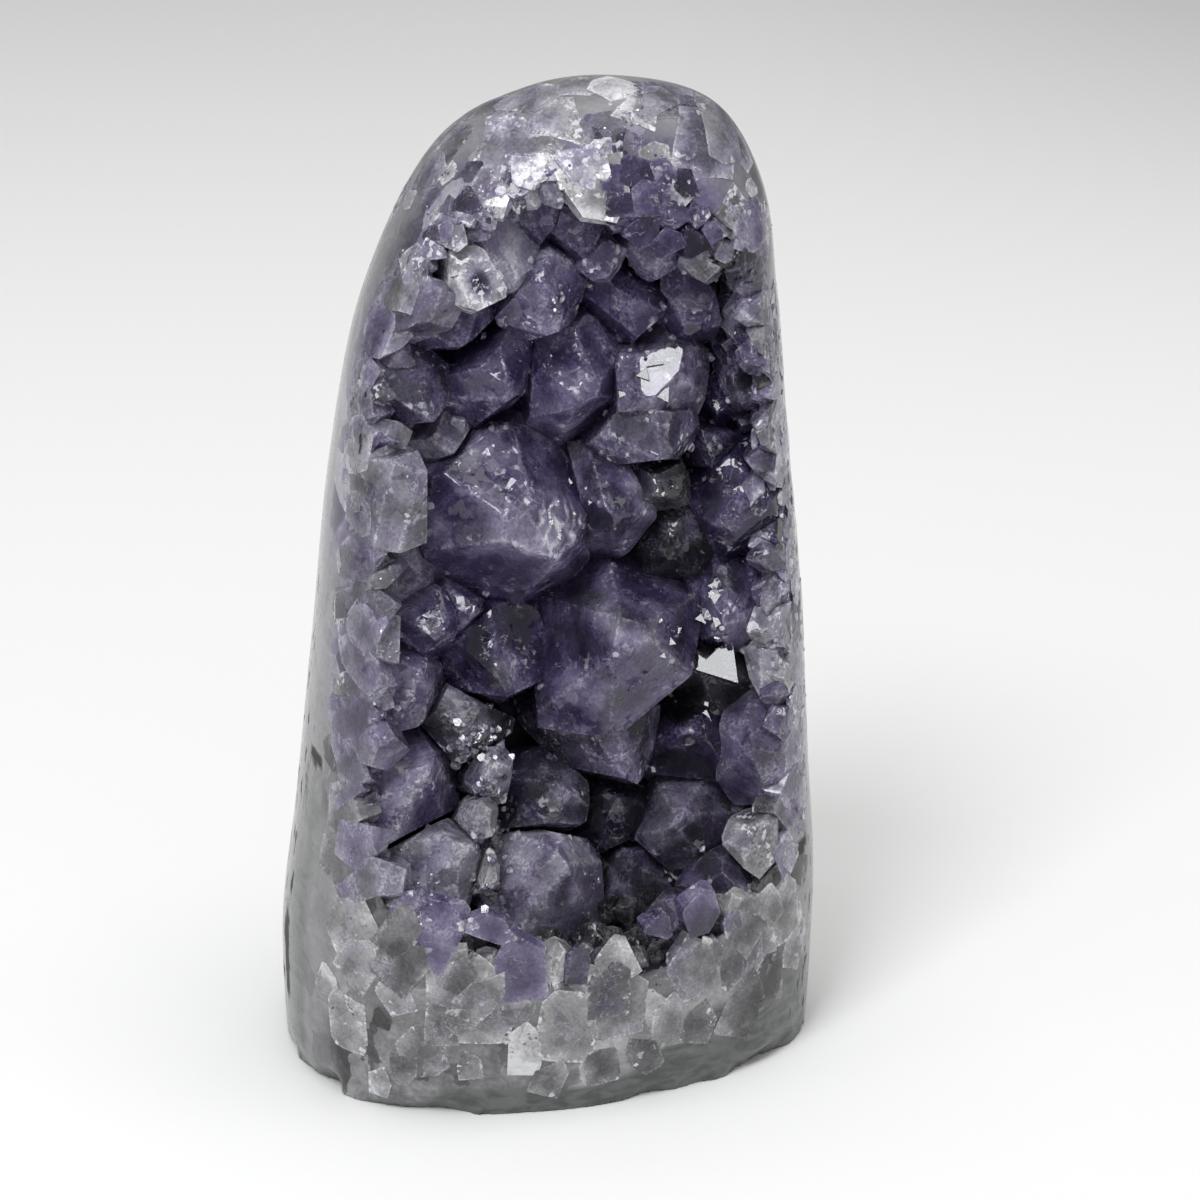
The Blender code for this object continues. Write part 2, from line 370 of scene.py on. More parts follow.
VIOLET = [
    (0.0, (0.005, 0.003, 0.012)), (0.2, (0.023, 0.015, 0.052)), (0.4, (0.076, 0.055, 0.140)),
    (0.6, (0.178, 0.148, 0.265)), (0.8, (0.36, 0.335, 0.445)), (1.0, (0.78, 0.77, 0.83)),
]
GREY = [
    (0.0, (0.004, 0.004, 0.004)), (0.2, (0.021, 0.021, 0.022)), (0.4, (0.078, 0.078, 0.082)),
    (0.6, (0.185, 0.185, 0.192)), (0.8, (0.38, 0.38, 0.385)), (1.0, (0.82, 0.82, 0.83)),
]


def quartz_colour(n, level, purple):
    return n.mix(purple, n.ramp(level, GREY), n.ramp(level, VIOLET))


def facet_height(n, place, size, slope):
    """Small flat facets with random tilts, as a height in metres."""
    node = n.add("ShaderNodeTexVoronoi", feature="F1")
    n.feed(node.inputs["Vector"], place)
    node.inputs["Scale"].default_value = 1 / size
    tilt = n.vector_maths("SUBTRACT", node.outputs["Color"], (0.5, 0.5, 0.5))
    away = n.vector_maths("SUBTRACT", place, node.outputs["Position"])
    dot = n.add("ShaderNodeVectorMath", operation="DOT_PRODUCT")
    n.feed(dot.inputs[0], tilt)
    n.feed(dot.inputs[1], away)
    return n.times(dot.outputs["Value"], slope)


def quartz_material():
    """Quartz from black-violet depths to white by each crystal's own tone, with clouds, frost and a painted
    highlight along the edges.
    """
    n = Nodes("quartz")
    place = n.vector_maths("ADD", n.coords, n.attribute("seed", "Vector"))
    mirror = n.attribute("mirror")
    cloud = n.noise(5.0 * MM, 2, place, 0.45, 0.5)
    wisps = n.noise(1.7 * MM, 5, place, 0.62, 1.1)
    grit = n.noise(0.33 * MM, 3, place, 0.65)
    patch = n.noise(3.4 * MM, 2, place, 0.5)
    edge = n.attribute("edge")
    foggy = n.span(n.plus(edge, n.times(wisps, 0.9 * MM)), 0.6 * MM, 2.6 * MM, 1, 0)
    fog = n.times(foggy, n.span(patch, 0.35, 0.60, 0.3, 1.0))
    # Thin light lines along the crystal edges: painted highlight.
    line = n.span(edge, 0.04 * MM, 0.26 * MM, 1, 0)
    inner = n.part(n.cells(2.4 * MM, "F1", n.vector_maths("ADD", place, n.scaled(n.coords, 0.3))), 0)
    level = n.plus(
        n.attribute("tone"), n.swing(cloud, 0.62), n.swing(wisps, 0.16), n.swing(grit, 0.34),
        n.swing(inner, 0.10), n.swing(fog, 0.20, 0.35), n.times(line, n.span(grit, 0.4, 0.6), 0.12),
    )
    hue = n.plus(n.attribute("purple"), n.swing(patch, 1.4))
    colour = quartz_colour(n, level, n.span(hue, 0.0, 1.0))
    crack = n.maths("ABSOLUTE", n.maths("SUBTRACT", n.noise(1.9 * MM, 3, place, 0.55, 0.8), 0.5))
    crack = n.times(n.span(crack, 0.0, 0.014, 1.0, 0.0), n.span(patch, 0.54, 0.64))
    where = n.span(n.noise(2.6 * MM, 3, place, 0.6, 0.5), 0.50, 0.66)
    amount = n.times(where, n.plus(n.attribute("frost"), 0.12))
    specks = n.span(n.cells(0.34 * MM, "F1", place, "Distance"), 0.05, 0.22, 1.0, 0.0)
    chips = n.span(n.part(n.cells(0.5 * MM, "F1", place), 0), 0.76, 0.80)
    white = n.times(n.maths("MAXIMUM", specks, chips), n.span(amount, 0.05, 0.9, 0.0, 0.85))
    white = n.maths("MAXIMUM", white, n.times(crack, 0.35))
    colour = n.mix(white, colour, (0.80, 0.80, 0.86))
    clear = n.times(n.span(level, 0.15, 0.75, 0.5, 0.15), n.inverse(white))
    rough = n.span(n.noise(1.5 * MM, 4, place, 0.6), 0.38, 0.68, 0.03, 0.16)
    rough = n.times(rough, n.inverse(n.times(mirror, 0.8)))
    flats = facet_height(n, place, 1.1 * MM, n.span(patch, 0.42, 0.62, 0.05, 0.5))
    tiny = facet_height(n, place, 0.45 * MM, n.span(amount, 0.05, 0.9, 0.0, 0.8))
    height = n.times(n.plus(flats, tiny, n.times(wisps, 0.03 * MM)), n.inverse(mirror))
    n.set(Base_Color=colour, Transmission_Weight=clear, Roughness=rough, Normal=n.bump(height))
    n.set(IOR=1.54, Subsurface_Weight=0.12, Subsurface_Radius=(1, 1, 1), Subsurface_Scale=0.8 * MM)
    return n.material


# How light the grains of the polished body are, from the darkest share of them to the lightest.
GRAIN_TONES = ((0.0, 0.30), (0.16, 0.48), (0.5, 0.62), (0.8, 0.70), (1.0, 0.84))
FLANK_TONE = 0.64


def stone_material():
    """The polished body: amethyst next to the druse, then quartz, then agate rind, cut as a mosaic."""
    n = Nodes("geode_stone")
    growth, flank = n.attribute("growth"), n.attribute("flank")
    rind, wall = n.attribute("rind"), n.attribute("wall")
    warp = n.noise(2.4 * MM, 3, n.coords, 0.5, output="Color")
    place = n.vector_maths("ADD", n.attribute("grain", "Vector"), n.scaled(warp, 2.0 * MM))
    cell = n.cells(4.6 * MM, "F1", place)
    border = n.cells(4.6 * MM, "DISTANCE_TO_EDGE", place, "Distance")
    cloud = n.noise(3.6 * MM, 4, n.coords, 0.6, 0.8)
    wisps = n.noise(1.2 * MM, 5, n.coords, 0.65, 0.9)
    fine = n.noise(0.45 * MM, 3, n.coords, 0.65)
    tone = n.part(n.ramp(n.part(cell, 0), [(at, (tone,) * 3) for at, tone in GRAIN_TONES]), 0)
    tone = n.plus(n.times(tone, n.inverse(flank)), n.times(flank, FLANK_TONE))
    calm = n.span(flank, 0, 1, 1.0, 0.45)
    level = n.plus(n.swing(cloud, 0.5), n.swing(wisps, 0.3), n.swing(fine, 0.22))
    chip = n.span(n.part(n.cells(2.0 * MM, "F1", place), 0), 0.86, 0.88, 0.0, 0.16)
    level = n.maths("SUBTRACT", n.plus(tone, n.times(level, calm)), n.times(chip, calm))
    hue = n.plus(n.span(growth, 2 * MM, 12 * MM, 0.55, 0.12), n.swing(n.part(cell, 1), 0.4))
    hue = n.times(hue, n.attribute("upper"), n.span(flank, 0, 1, 1.0, 0.4))
    colour = quartz_colour(n, level, n.span(hue, 0.0, 1.0))
    flaw = n.span(n.plus(border, n.times(wisps, 0.3)), 0.14, 0.22, 1.0, 0.0)
    specks = n.span(n.cells(0.5 * MM, "F1", n.coords, "Distance"), 0.14, 0.3, 1.0, 0.0)
    frost = n.times(flaw, n.span(cloud, 0.45, 0.6), n.plus(0.3, specks))
    colour = n.mix(n.times(frost, n.span(flank, 0, 1, 0.5, 0.1)), colour, (0.66, 0.66, 0.70))
    band = n.noise(1.1 * MM, 2, n.vector_maths("MULTIPLY", n.coords, (0.45, 0.45, 1.1)), 0.5, 0.5)
    agate = n.mix(n.span(band, 0.35, 0.65), (0.075, 0.082, 0.077), (0.135, 0.145, 0.138))
    agate = n.mix(n.span(cloud, 0.5, 0.8, 0.0, 0.4), agate, (0.25, 0.26, 0.25))
    colour = n.mix(rind, colour, agate)
    spots = n.noise(1.1 * MM, 2, n.vector_maths("MULTIPLY", n.coords, (1, 1, 0.45)))
    pits = n.times(n.span(spots, 0.60, 0.66), n.attribute("pits"))
    pits = n.maths("MAXIMUM", pits, n.attribute("flaws"))
    colour = n.mix(pits, colour, (0.025, 0.025, 0.022))
    # The bowl wall behind the crystals: dark violet down to near black, painted shade of the deep hollow.
    hollow = n.mix(n.span(cloud, 0.4, 0.7), (0.012, 0.009, 0.018), (0.06, 0.045, 0.085))
    colour = n.mix(wall, colour, hollow)
    rough = n.span(fine, 0.35, 0.7, 0.10, 0.24)
    rough = n.maths("MAXIMUM", rough, n.times(n.maths("MAXIMUM", pits, wall), 0.6))
    height = n.maths("SUBTRACT", n.times(fine, 0.006 * MM), n.times(pits, 0.12 * MM))
    n.set(Base_Color=colour, Roughness=rough, Normal=n.bump(height), IOR=1.54, Specular_IOR_Level=0.35)
    return n.material


# The polished body ------------------------------------------------------------------------------------

VOXEL = 0.6 * MM
WORN_HEIGHT, WORN_DEPTH = 3.2 * MM, 0.09  # the edge round the base: how high it is worn, and by what share


def remeshed(source, voxel):
    """An even mesh of the same solid."""
    copy = bpy.data.objects.new("even_copy", source.data.copy())
    SCENE.collection.objects.link(copy)
    copy.modifiers.new("weld", "WELD").merge_threshold = 0.01 * MM
    even = copy.modifiers.new("even", "REMESH")
    even.mode = "VOXEL"
    even.voxel_size = voxel
    graph = bpy.context.evaluated_depsgraph_get()
    mesh = bpy.data.meshes.new_from_object(copy.evaluated_get(graph))
    bpy.data.objects.remove(copy)
    mesh.materials.clear()
    return mesh


def stone_body():
    mesh = remeshed(NODES["geode_body"], VOXEL)
    points = points_of(mesh)
    to_body = np.abs(BODY.gap(points))
    to_bowl = np.abs(BOWL.gap(points))
    to_base = np.abs(points[:, 2])
    on_base = (to_base < 0.7 * VOXEL) & (to_base <= to_body)
    on_bowl = (to_bowl < to_body) & ~on_base
    on_skin = ~on_base & ~on_bowl
    points[on_skin] = BODY.snap(points[on_skin], SKIN)
    worn = smoothstep(WORN_HEIGHT, 0.0, points[:, 2]) * np.maximum(noise_at(points, 4.5 * MM, 11) + 0.12, 0)
    points[:, :2] *= 1 - (worn * WORN_DEPTH)[:, None] * (~on_bowl)[:, None]
    points[on_base, 2] = 0
    points[on_bowl] = BOWL.snap(points[on_bowl])
    rough = np.abs(noise_at(points[on_bowl], 1.6 * MM)) * 0.5 * MM
    away = points[on_bowl] - BOWL.heart
    points[on_bowl] += away * (rough / np.linalg.norm(away, axis=1))[:, None]
    points[:, 2] = np.maximum(points[:, 2], 0)
    set_points(mesh, points)
    growth = np.maximum(BOWL.gap(points), 0)
    ray = points - BOWL.heart
    ray /= np.linalg.norm(ray, axis=1)[:, None]
    grain = BOWL.heart + ray * (0.028 + 0.45 * growth)[:, None]
    give(mesh, "growth", growth)
    give(mesh, "grain", grain)
    give(mesh, "rind", rind_share(points))
    give(mesh, "pits", pit_share(points))
    give(mesh, "flaws", flaw_share(points))
    give(mesh, "flank", flank_share(points))
    give(mesh, "upper", smoothstep(0.016, 0.034, points[:, 2] - 0.25 * np.abs(points[:, 0])))
    give(mesh, "wall", on_bowl.astype(float))
    mesh.shade_smooth()
    mesh.set_sharp_from_angle(angle=math.radians(40))
    made = new_object(mesh, "polished_geode_body", stone_material())
    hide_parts("geode_body")
    return made


def rind_share(points):
    """1 on the grey-green agate rind: the back, the foot, and a thin line at the upper left."""
    x, y, z = points.T / MM
    wander = noise_at(points, 5 * MM, 1) * 2.2 + noise_at(points, 1.7 * MM, 2) * 0.7
    foot_top = 2.8 + 6.5 * smoothstep(2, 23, x) - 2.4 * smoothstep(-6, -16, x)
    foot = smoothstep(0.7, -0.7, z - foot_top - wander)
    limit = np.where(x < 0, -11 + 18 * smoothstep(18, 78, z), 6)
    behind = smoothstep(-1.5, 1.5, y - limit - wander * 1.4)
    behind *= 1 - smoothstep(9, 3, y) * 0.65 * smoothstep(18, 50, z)
    crest = smoothstep(-1.0, 1.0, y - 1.0 - wander * 0.6) * smoothstep(4, -2, x) * smoothstep(62, 70, z)
    return np.maximum.reduce([foot, behind, crest])


# Dark chips at the sides: across, height, half width and half height in mm.
FLAWS = (
    (-25, 47.5, 0.8, 3.2), (-25.4, 40, 0.7, 4.0), (-22.8, 34, 1.3, 0.8), (-22.6, 62, 0.8, 1.6),
    (-27, 7.5, 1.1, 1.0), (25.6, 22, 1.4, 1.2), (-26.2, 12, 0.4, 6.0),
)


def pit_share(points):
    """Where small dark natural pits may lie: patches of the left flank and of the right edge."""
    x, y, _ = points.T / MM
    flank = smoothstep(-21, -23.5, x) * smoothstep(-12, -6, y)
    flank = np.maximum(flank, smoothstep(23.8, 25.2, x) * 0.8)
    return flank * smoothstep(0.0, 0.25, noise_at(points, 9 * MM, 4) + 0.1)


def flaw_share(points):
    """1 in the dark chips of FLAWS."""
    x, y, z = points.T / MM
    wobble = 1 + 0.5 * noise_at(points, 1.3 * MM, 9)
    flaws = np.zeros(len(points))
    for across, height, wide, tall in FLAWS:
        depth = front_point(across, height)[1] / MM
        away = np.sqrt(((x - across) / wide) ** 2 + ((z - height) / tall) ** 2 + ((y - depth) / 2.5) ** 2)
        flaws = np.maximum(flaws, smoothstep(1.0, 0.75, away * wobble))
    return flaws


def flank_share(points):
    """1 on the smooth grey flanks at either side of the front and behind."""
    x, y, _ = points.T / MM
    wander = noise_at(points, 6 * MM, 8) * 1.5
    left = smoothstep(-19.5, -22.0, x + wander)
    behind = smoothstep(-9, -2, y + wander)
    return np.maximum(left, behind)


# Crystals ---------------------------------------------------------------------------------------------

LOOK_AT = Vector((5.4, 2.35, 46)) * MM
CAMERA_RISE = math.radians(22)
CAMERA_DISTANCE = 0.5
TO_CAMERA = Vector((0, -math.cos(CAMERA_RISE), math.sin(CAMERA_RISE)))
KEY = Vector((-0.19, -0.42, 0.70))
OUT = Vector(BOWL.axes[2])

# Each crystal's tone, how violet it is, its frost, and how far in mm the tip is broken off.
LOOKS = {
    "below_great_right": (0.40, 0.58, 0.2, 0.6), "below_window": (0.41, 0.62, 0.4, 0.8),
    "black": (0.35, 0.49, 0, 0), "bottom_left": (0.73, 0.68, 0.2, 0.4), "centre": (0.45, 0.75, 0.2, 0.4),
    "centre_upper": (0.43, 0.95, 0.2, 0.4), "dark_centre": (0.16, 0.30, 0.1, 0.4),
    "dark_glint": (0.26, 0.30, 0.2, 0.2), "great_left": (0.46, 0.84, 0.15, 1.6),
    "great_right": (0.43, 0.80, 0.2, 1.2), "inner_black": (0.11, 0.42, 0, 0),
    "inner_dark": (0.14, 0.74, 0.1, 0), "left_cavity": (0.47, 0.56, 0.1, 0.3),
    "left_dark": (0.62, 0.75, 0.1, 0.3), "left_grey": (0.29, 0.92, 0.2, 0.4),
    "left_inner": (0.34, 1.26, 0.1, 0.3), "left_purple": (0.54, 1.30, 0.4, 0.5),
    "left_pyramid": (0.28, 0.80, 0.1, 0), "left_shoulder": (0.31, 0.69, 0.2, 0.4),
    "left_smooth": (0.50, 0.45, 0.2, 0.4), "light_edged": (0.53, 1.26, 0.4, 0.3),
    "lobe_lower": (0.82, 0.18, 0.5, 0.8), "lobe_middle": (0.68, 0.55, 0.4, 0.8),
    "lobe_upper": (0.55, 0.57, 0.4, 0.8), "lower_facet": (0.35, 0.51, 0.2, 0.4),
    "lower_lavender": (0.61, 0.72, 0.3, 0.5), "lower_left_grey": (0.66, 0.58, 0.3, 0.4),
    "lower_left_large": (0.54, 1.08, 0.3, 0.8), "lower_right": (0.43, 0.60, 0.2, 0.4),
    "lower_small": (0.38, 0.43, 0.2, 0.4), "lower_striped": (0.44, 0.54, 0.1, 0.3),
    "milky": (0.45, 1.04, 0.5, 0.6), "mirror": (0.20, 0.20, 0.1, 0), "right_cavity": (0.15, 0.89, 0, 0),
    "right_clear": (0.67, 0.58, 0.7, 0.6), "right_inner": (0.30, 0.72, 0.1, 0.3),
    "right_large": (0.21, 1.30, 0.2, 0.8), "right_light": (0.56, 0.45, 0.3, 0.4),
    "right_lower": (0.40, 0.76, 0.2, 0.4), "right_pink": (0.52, 0.79, 0.3, 0.8),
    "right_shoulder": (0.47, 0.63, 0.2, 0.4), "right_upper_dark": (0.26, 0.53, 0.1, 0.3),
    "right_white": (0.64, 0.30, 0.7, 0.4), "sparkle": (0.34, 0.30, 0.3, 0.4),
    "striped": (0.56, 0.51, 0.5, 0.4), "top_dark": (0.36, 1.30, 0.2, 0.6),
    "top_grey": (0.60, 0.15, 0.5, 0.8), "top_inner_left": (0.34, 1.30, 0.2, 0.3),
    "top_inner_right": (0.44, 1.30, 0.1, 0.3), "top_left": (0.40, 1.30, 0.1, 0.3),
    "upper_centre": (0.24, 1.22, 0.2, 0.6), "upper_grey": (0.45, 1.14, 0.2, 0.4),
    "upper_left": (0.73, 0.97, 0.1, 1), "upper_left_inner": (0.43, 1.10, 0.1, 0.3),
    "upper_mid_right": (0.42, 0.96, 0.2, 0.4), "upper_right": (0.46, 0.34, 0.2, 0.4),
    "vivid": (0.34, 1.30, 0.2, 0.4), "white_diamond": (0.76, 0.52, 0.9, 0.8),
    "window": (0.49, 0.69, 0.3, 0.6),
}

# Facets that catch the window light: how far in from the tip they lie, and their lean to the side and up.
GLINTS = {
    "window": (1.3, -0.02, 0.0), "mirror": (0.9, 0.0, 0.0), "dark_glint": (0.35, 0.0, 0.0),
    "striped": (0.9, 0.0, 0.0), "right_clear": (0.8, 0.0, 0.0),
}
# How much wider crystals stand than their CAD solids, by share, so that neighbours grow into each other.
WIDER = {"great_left": 0.15, "great_right": 0.15, "window": 0.13}
WIDER_USUALLY = 0.09
# Crystals that stand slimmer than their CAD solids, by this share of their width.
SLIM = {"lobe_upper": 0.72, "lobe_middle": 0.66, "lobe_lower": 0.8}
# Lighter and darker patches in the druse: across, up and size in mm, how much lighter and how much bluer.
PATCHES = (
    (-9, 30.7, 1.4, -0.4, 0.1), (-7.8, 13, 3, 0.1, -0.1), (-10.1, 7.5, 2.2, -0.14, 0.1),
    (-12.6, 5.5, 1.5, 0.12, 0), (-7.5, 3.9, 3, 0.04, -0.1), (-1.7, -3.2, 1.6, -0.1, 0.1),
    (-1.4, 5.7, 2.8, 0.08, 0), (-4.6, 11.6, 1.5, -0.06, 0.1), (3.1, -3.8, 2.5, 0.08, -0.2),
    (7.8, -5.3, 2, 0.1, -0.2), (2.8, -8.6, 3, -0.15, 0.1), (-0.4, -9, 1.3, 0.04, 0.5),
    (1.9, -13.2, 2, 0.12, 0.2), (7.9, -12.5, 1.8, 0.06, 0), (-6.8, -9, 2.2, 0.06, -0.2),
    (-5.6, -6.1, 2, -0.04, 0),
)
# Curved broken ridges: where they are, how far they reach, and the point that they curve round.
RIDGES = {"great_left": ((-1.4, 5.7), 3.4, (-9.5, 9.0))}
# Clusters of tiny bright crystals: across, up, out, spread, number and size.
SPARKLES = (
    (11.3, -7.8, -7.2, 1.4, 14, 0.35), (6.1, 45.7, -1.2, 2.4, 26, 0.4), (8.2, 41.8, 2.9, 1.2, 12, 0.4),
    (10.1, 38.9, 4.5, 1.6, 12, 0.35), (-0.9, 40.7, 2.2, 1.8, 14, 0.35), (-7.3, 38.1, 0.9, 1.5, 12, 0.35),
    (-14.5, 32.8, -2.5, 1.8, 16, 0.35), (-12.4, 36.9, -2.7, 1, 8, 0.35), (-10.5, 40.4, -4, 1, 8, 0.35),
    (15.9, 37.1, 3.1, 1.5, 16, 0.35), (21.1, 34.1, -5.6, 1, 10, 0.35), (-10, -15.3, 0.2, 2.6, 60, 0.9),
    (-8.9, -20.4, -0.1, 1.6, 35, 0.9), (-8, -26.2, -1.4, 1.8, 40, 0.9), (-8.9, -31.3, -1.4, 1.4, 26, 0.9),
    (-3.3, 22.5, -7.6, 2.5, 14, 0.3), (-15.1, -29.4, -0, 2, 16, 0.35), (-16.5, -32.5, 2.6, 1.5, 12, 0.35),
    (2.2, -32.3, -4.7, 1.2, 12, 0.35), (-21.8, -34, -1.7, 2, 10, 0.35), (-19.4, -38.6, 0.1, 1.6, 12, 0.35),
    (-23.3, -44.2, -4.4, 2, 12, 0.35), (-7.2, -45.8, 4.4, 2, 12, 0.35), (-1.4, -45.5, 5.7, 2, 10, 0.35),
    (6.5, -40.2, 7.1, 2, 10, 0.35), (-15.3, 11.5, -1.2, 1.5, 12, 0.35), (-18, 1.3, -0.9, 1.2, 10, 0.35),
    (-18.3, -4.9, -0.2, 1.5, 12, 0.35), (-18.7, -12.8, -2, 1.2, 8, 0.35), (14.8, -3.1, -4.3, 0.7, 4, 0.9),
    (14, -5.6, -4.7, 0.7, 5, 0.9), (15, -7, -3.6, 0.7, 4, 0.9), (-1.4, 28, -0.7, 1.5, 10, 0.35),
    (7.5, 22.2, -2.6, 2, 8, 0.5), (21, -8.4, 0.1, 1.8, 40, 0.6), (22.5, -13.1, -1.2, 1.6, 30, 0.6),
    (18.3, -27.6, 2.1, 1.6, 12, 0.4),
)

# Flat chips that mirror the window: across, up, out and radius.
MIRROR_CHIPS = (
    (14.8, -10.7, -4.7, 2.6), (16.1, -10.1, -5.2, 1), (14, -16.3, -7, 1.3), (14.1, -15.1, -5.5, 0.5),
    (14.8, -2.7, -4.2, 0.7), (14.6, -3.6, -3.5, 0.7), (13.8, -6.3, -5.6, 0.9), (14.9, -6, -3.1, 0.8),
    (15.6, -8.7, -4.7, 0.5), (10.2, 8.7, -2.9, 0.55), (8.8, 8.2, -2.2, 0.35), (9.3, 7.7, -2.4, 0.25),
    (13.6, 32.4, 0.7, 0.45), (14, 31.6, 0.7, 0.45), (13.7, 32.3, 3.7, 0.45), (14.6, 31.4, 3.2, 0.4),
    (7.2, 20.2, -1.3, 0.8), (8.4, 21.3, -1.2, 0.7), (5.4, 18.1, -2, 0.6), (9, 18.3, -0.4, 0.8),
    (21.8, -12.8, -0.2, 0.8), (22.4, -14.4, -1.1, 0.6), (-8.3, -31.4, -2.7, 0.5), (-9.1, -33.5, -2.7, 0.4),
    (0.8, 8.7, -5.5, 0.4), (-2.1, 7.7, -1, 0.3), (-2.5, 6.6, 0.7, 0.4), (-0.5, 3.1, -5.5, 0.35),
    (1.2, 5.3, -5.8, 0.3), (2.1, 7.5, -2.2, 0.3), (10.6, -8.6, -5.8, 0.5), (9.4, -9.2, -4, 0.4),
    (12, -8.3, -8.5, 0.4), (-11.2, 31.8, 0.8, 0.5),
)


def bowl_place(across, up, out):
    return BOWL.heart + np.array([across, up, out]) * MM @ BOWL.axes


def cleaned(source):
    """The CAD crystal with its flat faces whole again."""
    bm = bmesh.new()
    bm.from_mesh(source.data)
    bmesh.ops.remove_doubles(bm, verts=bm.verts, dist=1e-6)
    bmesh.ops.dissolve_limit(
        bm, angle_limit=math.radians(2.5), verts=bm.verts, edges=bm.edges, delimit=set()
    )
    return bm


def planes_of(bm):
    """Normal and offset of each face plane."""
    normals = np.array([face.normal for face in bm.faces])
    offsets = np.array([face.normal.dot(face.verts[0].co) for face in bm.faces])
    return normals, offsets


def edge_distance(points, planes):
    """Distance of surface points from the nearest edge, from the second nearest face plane."""
    normals, offsets = planes
    inside = offsets[None, :] - points @ normals.T
    inside.sort(axis=1)
    return np.abs(inside[:, 1])


def depth_in(points, planes):
    """How deep each point is inside a convex solid; negative outside."""
    normals, offsets = planes
    return (offsets[None, :] - points @ normals.T).min(axis=1)


def unevened(bm, chance, size):
    """Moves the free facets in by different amounts, so that no two crystals end alike."""
    facets = [(f.normal.copy(), f.verts[0].co.copy()) for f in bm.faces if f.normal.dot(OUT) > 0.25]
    for normal, point in facets:
        inward = chance.random() ** 2 * 0.16 * size
        saw(bm, point - normal * inward, normal)


def chipped(bm, chance, count, depth):
    """Takes small flats off some edges, as on natural crystals."""
    bm.normal_update()
    for _ in range(count):
        edges = [e for e in bm.edges if len(e.link_faces) == 2 and e.calc_face_angle(0) > 0.5]
        if not edges:
            return
        edge = chance.choice(edges)
        one, two = (face.normal for face in edge.link_faces)
        lean = chance.uniform(0.25, 0.75)
        normal = (one * lean + two * (1 - lean)).normalized()
        middle = (edge.verts[0].co + edge.verts[1].co) / 2
        saw(bm, middle - normal * chance.uniform(0.3, 1.0) * depth, normal)


def tip_of(bm, way):
    return max((vert.co for vert in bm.verts), key=lambda co: co.dot(way)).copy()


class Batch:
    """Gathers crystals into one mesh, with what the material needs at each vertex."""

    def __init__(self):
        self.points, self.faces, self.given = [], [], {}
        self.count = 0

    def add(self, points, faces, **values):
        self.points.append(points)
        self.faces += [[index + self.count for index in face] for face in faces]
        self.count += len(points)
        for name, value in values.items():
            value = np.asarray(value, float)
            if value.ndim == 0 or value.shape == (3,):
                value = np.broadcast_to(value, (len(points), *value.shape))
            self.given.setdefault(name, []).append(value)

    def grow(self, bm, chance, look, longest, bevel, ripple, shine=0.0, **more):
        """Adds one crystal, finished from its plain solid."""
        points, faces, values = carve(bm, chance, look, longest, bevel, ripple, **more)
        values["mirror"] += shine
        self.add(points, faces, **values)

    def finish(self, name, material, slot):
        mesh = bpy.data.meshes.new(name)
        mesh.from_pydata(np.concatenate(self.points).tolist(), [], self.faces)
        for key, values in self.given.items():
            give(mesh, key, np.concatenate(values))
        mesh.shade_smooth()
        mesh.set_sharp_from_angle(angle=math.radians(26))
        return new_object(mesh, name, material)


def shades(points, tone, purple):
    """Tone and violet at each point, with the patches laid over them."""
    place = BOWL.local(points) / MM
    wobble = noise_at(points, 1.4 * MM, 6)
    tones, purples = np.full(len(points), float(tone)), np.full(len(points), float(purple))
    for across, up, size, lighter, bluer in PATCHES:
        away = np.hypot(place[:, 0] - across, place[:, 1] - up) + wobble * 0.35 * size
        share = smoothstep(size, 0.35 * size, away)
        tones += share * lighter
        purples += share * bluer
    return tones, purples


def ridged(points, normals, where, reach, pivot):
    """Cuts curved steps, and says where their lips are, which are painted lighter: painted highlight on the
    lips.
    """
    place = BOWL.local(points) / MM
    near = smoothstep(reach, reach * 0.5, np.hypot(place[:, 0] - where[0], place[:, 1] - where[1]))
    turn = np.hypot(place[:, 0] - pivot[0], place[:, 1] - pivot[1]) + noise_at(points, 1.7 * MM, 7) * 1.2
    near *= 0.4 + 0.6 * smoothstep(-0.25, 0.25, noise_at(points, 1.5 * MM, 10))
    step = (turn / 1.15) % 1.0
    return points - normals * (near * step * 0.34 * MM)[:, None], near * smoothstep(0.70, 0.92, step)


